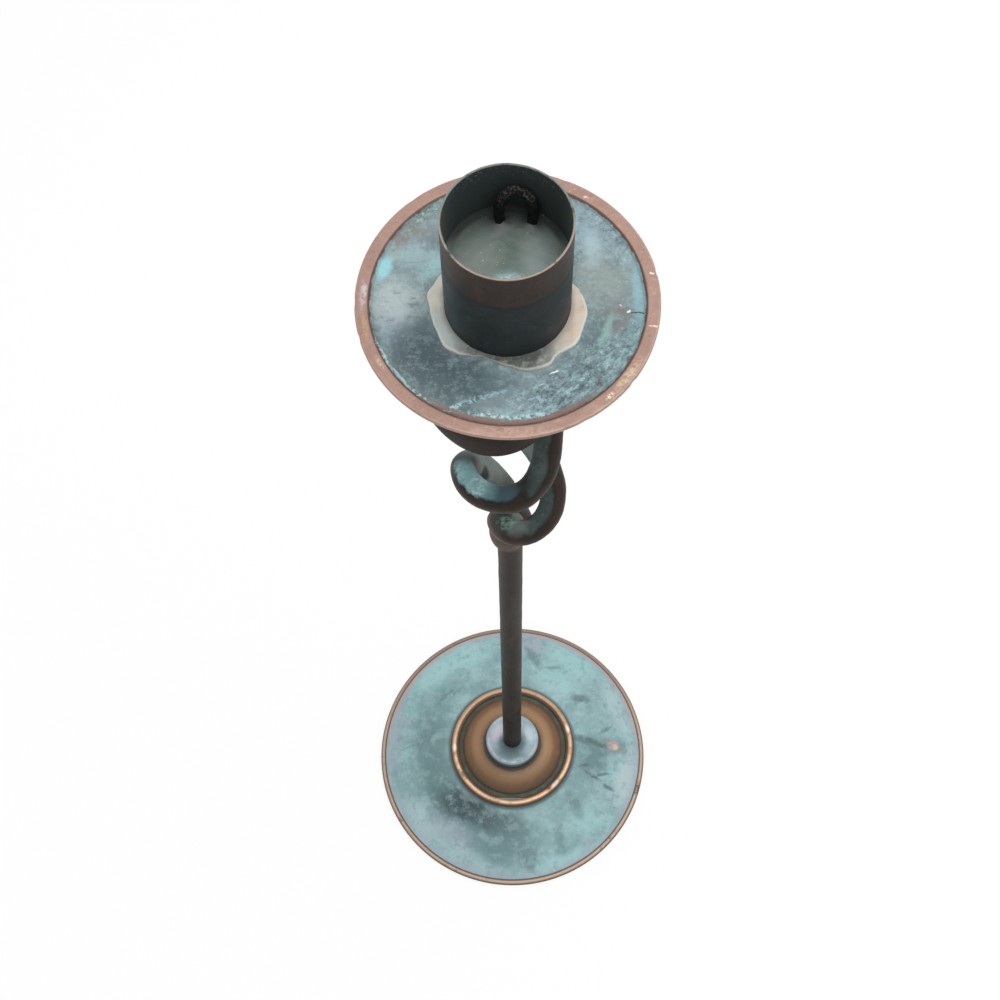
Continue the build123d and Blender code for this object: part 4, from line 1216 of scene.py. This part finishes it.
def waxTop(x, y):
    size = waxSizes
    r = math.hypot(x, y)
    height = size["meniscus"] * ease((r - waxR + size["meniscusWide"]) / size["meniscusWide"])
    flat = (x, y, 0)
    height += swell(flat, size["waveSize"], size["wave"]) + swell(flat, size["grainSize"], size["grain"])
    for footX, footY in wickSizes["feet"]:
        away = math.hypot(x - footX * mm, y - footY * mm)
        height += size["well"] * math.exp(-(away / size["wellR"]) ** 2)
    return size["top"] + height


def makeWax():
    size = waxSizes
    outR, headZ = waxR - size["sink"], waxLow + size["headHigh"]
    shares = [step / size["steps"] for step in range(size["steps"] + 1)]
    outline = [(outR * share ** size["closer"], size["top"]) for share in shares]
    outline += [(outR, waxLow), (size["headR"], waxLow), (size["headR"], headZ), (0.0, headZ)]

    def poured(point, r, z, angle):
        if z == size["top"]:
            point.z = waxTop(point.x, point.y)
        return tuple(point)

    vertices, faces = turned(outline, size["sides"], poured)
    vertices[0] = (0.0, 0.0, waxTop(0.0, 0.0))
    return makePiece("waxStub", vertices, faces, ["wax_stub"])


def waxFinish():
    size = waxSizes
    coat = Finish("oldWax", *size["ground"])
    coat.blotches(size["blotches"])
    place = coat.ragged(1.2, 4, 1.0)
    for tone, middle, sizes, turn in size["areas"]:
        coat.lay(coat.spot(place, middle, sizes, turn, 0.6), size[tone], 0.75)
    # painted reflection: a bluish glint on the front of the wax, broken into flecks, with a soft haze round
    # it
    haze = coat.spot(place, size["glintPlace"], size["hazeHalf"], soft=0.7)
    coat.lay(haze, *size["glintHaze"])
    waxGlint = coat.spot(coat.ragged(0.8, 1.5, 5.0), size["glintPlace"], size["glintHalf"], soft=0.7)
    flakes = coat.patches(0.6, 0.38, 0.56, 2, detail=5, rough=0.7)
    coat.lay((waxGlint, flakes), *size["waxGlint"])
    # painted shadow from the cup wall: darker at the rear, near the wall all round, and in a dark ring at the
    # rear
    coat.lay(coat.within(coat.wavering(coat.y, 1.0, 3, 7.0), 4.0, 9.5), *size["rearShadow"])
    coat.lay(coat.within(coat.r, waxR / mm - 1.8, waxR / mm - 0.2), *size["wall"])
    ring = coat.times(coat.within(coat.r, waxR / mm - 1.9, waxR / mm - 0.9), coat.within(coat.y, 1.0, 6.0))
    coat.lay(ring, *size["ring"])
    dust = coat.patches(0.55, 0.68, 0.74, 2, detail=2, rough=0.5)
    coat.lay((dust, coat.patches(4, 0.42, 0.56, 8, detail=3)), *size["dust"])
    for x, y in wickSizes["feet"]:
        coat.lay(coat.spot(place, (x, y, 0.0), size["charHalf"]), *size["char"])
    return coat.finish(*size["bump"], Subsurface_Weight=0.12, Subsurface_Scale=0.002)


# a smooth curve through the points
def smoothRoute(points, steps):
    route = []
    padded = [2 * points[0] - points[1], *points, 2 * points[-1] - points[-2]]
    spans = len(points) - 1
    for step in range(steps + 1):
        place = spans * step / steps
        number = min(int(place), spans - 1)
        t = place - number
        a, b, c, d = padded[number:number + 4]
        bend = (2 * a - 5 * b + 4 * c - d) * t * t + (3 * b - a - 3 * c + d) * t ** 3
        route.append(0.5 * (2 * b + (c - a) * t + bend))
    return route


def makeWick():
    size = wickSizes
    points = [Vector((x * mm, y * mm, z * mm + waxSizes["top"])) for x, y, z in size["route"]]
    route = smoothRoute(points, size["steps"])
    waves = [math.sin(size["waves"] * number / size["steps"]) for number in range(len(route))]
    radii = [size["r"] * (size["thin"] + size["thicker"] * wave) for wave in waves]

    def charred(place, out, number, angle):
        push = size["ply"] * math.sin(size["plies"] * angle + number * size["twist"])
        push += swell(place, size["fraySize"], size["fray"])
        push += swell(place, size["frayFineSize"], size["frayFine"])
        return place + out * push

    vertices, faces = bentTube(route, radii, size["sides"], charred)
    return makePiece("charredCord", vertices, faces, ["wick"], sharpAngle=60)


def wickFinish():
    size = wickSizes
    ashZ = waxSizes["top"] / mm + 4
    char = Finish("charredWick", *size["ground"])
    ash = char.patches(0.55, 0.46, 0.62, 3, detail=5, rough=0.7)
    char.lay((ash, char.within(char.z, ashZ, ashZ + 2.4)), *size["ash"])
    char.lay(char.patches(0.35, 0.56, 0.7, 8, rough=0.7), *size["fibre"])
    return char.finish(*size["bump"], Specular_IOR_Level=0.2)


# thin wax spilt on the pan round the cup
spillSizes = {
    "gap": 0.05 * mm, "lift": 0.02 * mm, "thick": 0.45 * mm, "inner": 1.35, "thinning": 0.35, "spread": 1.6,
    "lump": 0.5, "lumpSize": 2.2 * mm, "sides": 360, "steps": 14,
    "ripple": 0.18 * mm, "rippleSize": 0.16, "rippleFineSize": 0.06,
    "edge": [  # direction in degrees and how far the wax ran, in mm
        (10, 13.5), (20, 12.5), (90, 12.5), (145, 12.5), (160, 14), (175, 15), (190, 14.5), (205, 14.5),
        (218, 15), (230, 14.4), (240, 13.4), (250, 12.5), (260, 12.9), (270, 13.7), (285, 15.1), (300, 15.4),
        (310, 14.5), (325, 15.5), (340, 15), (352, 15),
    ],
    "ground": ((156, 162, 157), 0.42), "bump": (0.08, 0.8, 0.5, 2), "shade": ((86, 89, 84), 0.45),
    "rim": ((196, 196, 188), 1.0, None, None, 0.7), "frontRim": ((124, 128, 122), 0.8),
    "sectors": [  # middle, half width and softness in degrees, tone, strength
        ("right", 356, 40, 16, (196, 178, 161), 0.9), ("left", 168, 22, 14, (198, 195, 182), 0.85),
        # the front row is thin wax over the dark pan, darkened further as painted shadow of the cup
        ("low on the left", 212, 18, 12, (170, 180, 177), 0.85), ("front", 268, 36, 14, (58, 64, 60), 0.9),
    ],
    "blotches": [
        (2.5, 9, 0.50, 0.66, (178, 178, 169), 0.4), (0.9, 12, 0.54, 0.70, (192, 190, 180), 0.35, 0.62),
        (0.8, 15, 0.44, 0.30, (130, 134, 128), 0.35),
    ],
}


def spillReach(degrees):
    rows = spillSizes["edge"]
    rows = [(rows[-1][0] - 360, rows[-1][1]), *rows, (rows[0][0] + 360, rows[0][1])]
    for (before, reachBefore), (after, reachAfter) in zip(rows, rows[1:]):
        if before <= degrees < after:
            share = (degrees - before) / (after - before)
            return (reachBefore + (reachAfter - reachBefore) * share * share * (3 - 2 * share)) * mm


def makeSpill():
    size = spillSizes
    vertices, outward = [], []
    inR = cupR + size["gap"]
    ring = size["steps"] + 3
    for side in range(size["sides"]):
        degrees = 360 * side / size["sides"]
        across, along = math.cos(math.radians(degrees)), math.sin(math.radians(degrees))
        edge = spillReach(degrees) + swell((across, along, 0), size["rippleSize"], size["ripple"])
        edge += swell((across, along, 0), size["rippleFineSize"], size["ripple"] / 2)
        for step in range(size["steps"] + 1):
            share = step / size["steps"]
            r = inR + (edge - inR) * (1 - (1 - share) ** size["spread"])
            thick = size["thick"] * (1 - share ** 5) ** 0.5 * (size["inner"] - size["thinning"] * share)
            thick *= 1 + swell((r * across, r * along, 0), size["lumpSize"], size["lump"])
            vertices.append((r * across, r * along, cupLow + size["lift"] + max(thick, 0.0)))
            outward.append((r - inR) / (edge - inR))
        vertices += [(edge * across, edge * along, cupLow), (inR * across, inR * along, cupLow)]
        outward += [1.0, 0.0]
    total = ring * size["sides"]
    faces = []
    for side in range(size["sides"]):
        for step in range(ring):
            a, b = side * ring + step, side * ring + (step + 1) % ring
            faces.append((a, b, (b + ring) % total, (a + ring) % total))
    piece = makePiece("waxSpill", vertices, faces, ["wax_spill"], sharpAngle=60)
    piece.data.attributes.new("outward", "FLOAT", "POINT").data.foreach_set("value", outward)
    return piece


def spillFinish():
    size = spillSizes
    coat = Finish("spiltWax", *size["ground"])
    node = coat.tree.nodes.new("ShaderNodeAttribute")
    node.attribute_name = "outward"
    outward = node.outputs["Fac"]
    for name, middle, half, soft, tone, strength in size["sectors"]:
        coat.lay(coat.sector(middle, half, soft), tone, strength, label=name)
    coat.blotches(size["blotches"])
    coat.lay(coat.within(outward, 0.4, 0.0), *size["shade"])
    rim = coat.times(coat.within(coat.wavering(outward, 0.08, 1.2, 5.0), 0.80, 0.93), 0.85)
    coat.lay(rim, *size["rim"])
    coat.lay((rim, coat.sector(264, 28, 12)), *size["frontRim"])
    return coat.finish(*size["bump"], Subsurface_Weight=0.15, Subsurface_Scale=0.001)


# washers, nuts and the screw keep their CAD shapes and get old brass
brassSizes = {
    "nodes": ["tail_washer", "tail_nut", "cup_screw", "cup_washer", "cup_nut"],
    "ground": ((166, 140, 86), 0.38, 0.9), "bump": (0.05, 0.4, 0.5, 1, 3),
    "blotches": [
        (2, 3, 0.48, 0.64, (122, 100, 66), 0.6), (0.8, 7, 0.60, 0.72, (96, 108, 92), 0.5, 0.6),
    ],
}


def brassFinish():
    brass = Finish("oldBrass", *brassSizes["ground"])
    brass.blotches(brassSizes["blotches"])
    return brass.finish(*brassSizes["bump"])


wear(makeFoot(), footFinish())
wear(makeBoss(), bossFinish())
wear(makeSeat(), seatFinish())
wear(makeStem(), stemFinish())
print("foot, boss, seat and stem made")
for strand, name, seed in zip(makeSpiral(), ("strandOneRod", "strandTwoRod"), (2.0, 31.0)):
    wear(strand, strandFinish(name, seed))
wear(makeBowl(), bowlFinish())
print("spiral and bowl made")
wear(makePan(), panFinish())
wear(makeCup(), cupFinish())
wear(makeWax(), waxFinish())
wear(makeWick(), wickFinish())
wear(makeSpill(), spillFinish())
brass = brassFinish()
for node in brassSizes["nodes"]:
    wear(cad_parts[node], brass)
print("pan, cup, wax and fasteners made")

# floor, light and camera
studioSizes = {
    "floorHalf": 3.0, "floorGrey": 0.9, "floorWhite": 0.75, "sky": 0.6, "lamp": 12.0, "lampWide": 1.2,
    "lampPlace": (0.2, 0.1, 1.3), "lampAim": (0.0, 0.0, 0.15),
}
cameraSizes = {  # metres and degrees, matched to the photograph
    "place": (0.00247, -0.15757, 0.60139), "pitch": 66.806, "yaw": 0.682, "roll": 0.223, "lens": 60.98,
    "sensor": 36.0, "clipFrom": 0.01,
}


def makeFloor():
    half = studioSizes["floorHalf"]
    corners = [(-half, -half, 0), (half, -half, 0), (half, half, 0), (-half, half, 0)]
    mesh = bpy.data.meshes.new("floor")
    mesh.from_pydata(corners, [], [(0, 1, 2, 3)])
    floor = bpy.data.objects.new("floor", mesh)
    sceneCollection.objects.link(floor)
    material = bpy.data.materials.new("floor")
    material.use_nodes = True
    nodes, links = material.node_tree.nodes, material.node_tree.links
    nodes.clear()
    output, mixed = nodes.new("ShaderNodeOutputMaterial"), nodes.new("ShaderNodeMixShader")
    diffuse, glow = nodes.new("ShaderNodeBsdfDiffuse"), nodes.new("ShaderNodeEmission")
    diffuse.inputs["Color"].default_value = (*[studioSizes["floorGrey"]] * 3, 1)
    paths = nodes.new("ShaderNodeLightPath")
    seen = paths.outputs["Is Camera Ray"]
    for ray in ("Is Glossy Ray", "Is Transmission Ray"):
        either = nodes.new("ShaderNodeMath")
        either.operation = "MAXIMUM"
        links.new(seen, either.inputs[0])
        links.new(paths.outputs[ray], either.inputs[1])
        seen = either.outputs[0]
    share = nodes.new("ShaderNodeMath")
    share.operation = "MULTIPLY"
    share.inputs[1].default_value = studioSizes["floorWhite"]
    links.new(seen, share.inputs[0])
    links.new(share.outputs[0], mixed.inputs[0])
    links.new(diffuse.outputs[0], mixed.inputs[1])
    links.new(glow.outputs[0], mixed.inputs[2])
    links.new(mixed.outputs[0], output.inputs["Surface"])
    mesh.materials.append(material)


def makeLight():
    world = bpy.data.worlds.new("world")
    bpy.context.scene.world = world
    world.use_nodes = True
    background = world.node_tree.nodes["Background"]
    background.inputs["Color"].default_value = (1, 1, 1, 1)
    background.inputs["Strength"].default_value = studioSizes["sky"]
    data = bpy.data.lights.new("overhead", "AREA")
    data.size = studioSizes["lampWide"]
    data.energy = studioSizes["lamp"]
    lamp = bpy.data.objects.new("overhead", data)
    lamp.location = studioSizes["lampPlace"]
    aim = Vector(studioSizes["lampAim"]) - lamp.location
    lamp.rotation_euler = aim.to_track_quat("-Z", "Y").to_euler()
    sceneCollection.objects.link(lamp)


def makeCamera():
    size = cameraSizes
    pitch, yaw, roll = (math.radians(size[key]) for key in ("pitch", "yaw", "roll"))
    level = Vector((1, 0, 0))
    ahead = Vector((0, math.cos(pitch), -math.sin(pitch)))
    above = Vector((0, math.sin(pitch), math.cos(pitch)))
    forward = ahead * math.cos(yaw) - level * math.sin(yaw)
    aside = level * math.cos(yaw) + ahead * math.sin(yaw)
    right = aside * math.cos(roll) + above * math.sin(roll)
    up = above * math.cos(roll) - aside * math.sin(roll)
    turn = Matrix((right, up, -forward)).transposed().to_4x4()
    data = bpy.data.cameras.new("camera")
    data.lens = size["lens"]
    data.sensor_width = size["sensor"]
    data.clip_start = size["clipFrom"]
    camera = bpy.data.objects.new("camera", data)
    camera.matrix_world = Matrix.Translation(size["place"]) @ turn
    sceneCollection.objects.link(camera)
    bpy.context.scene.camera = camera


makeFloor()
makeLight()
makeCamera()
bpy.context.scene.view_settings.view_transform = "Standard"
print("floor, light and camera made")
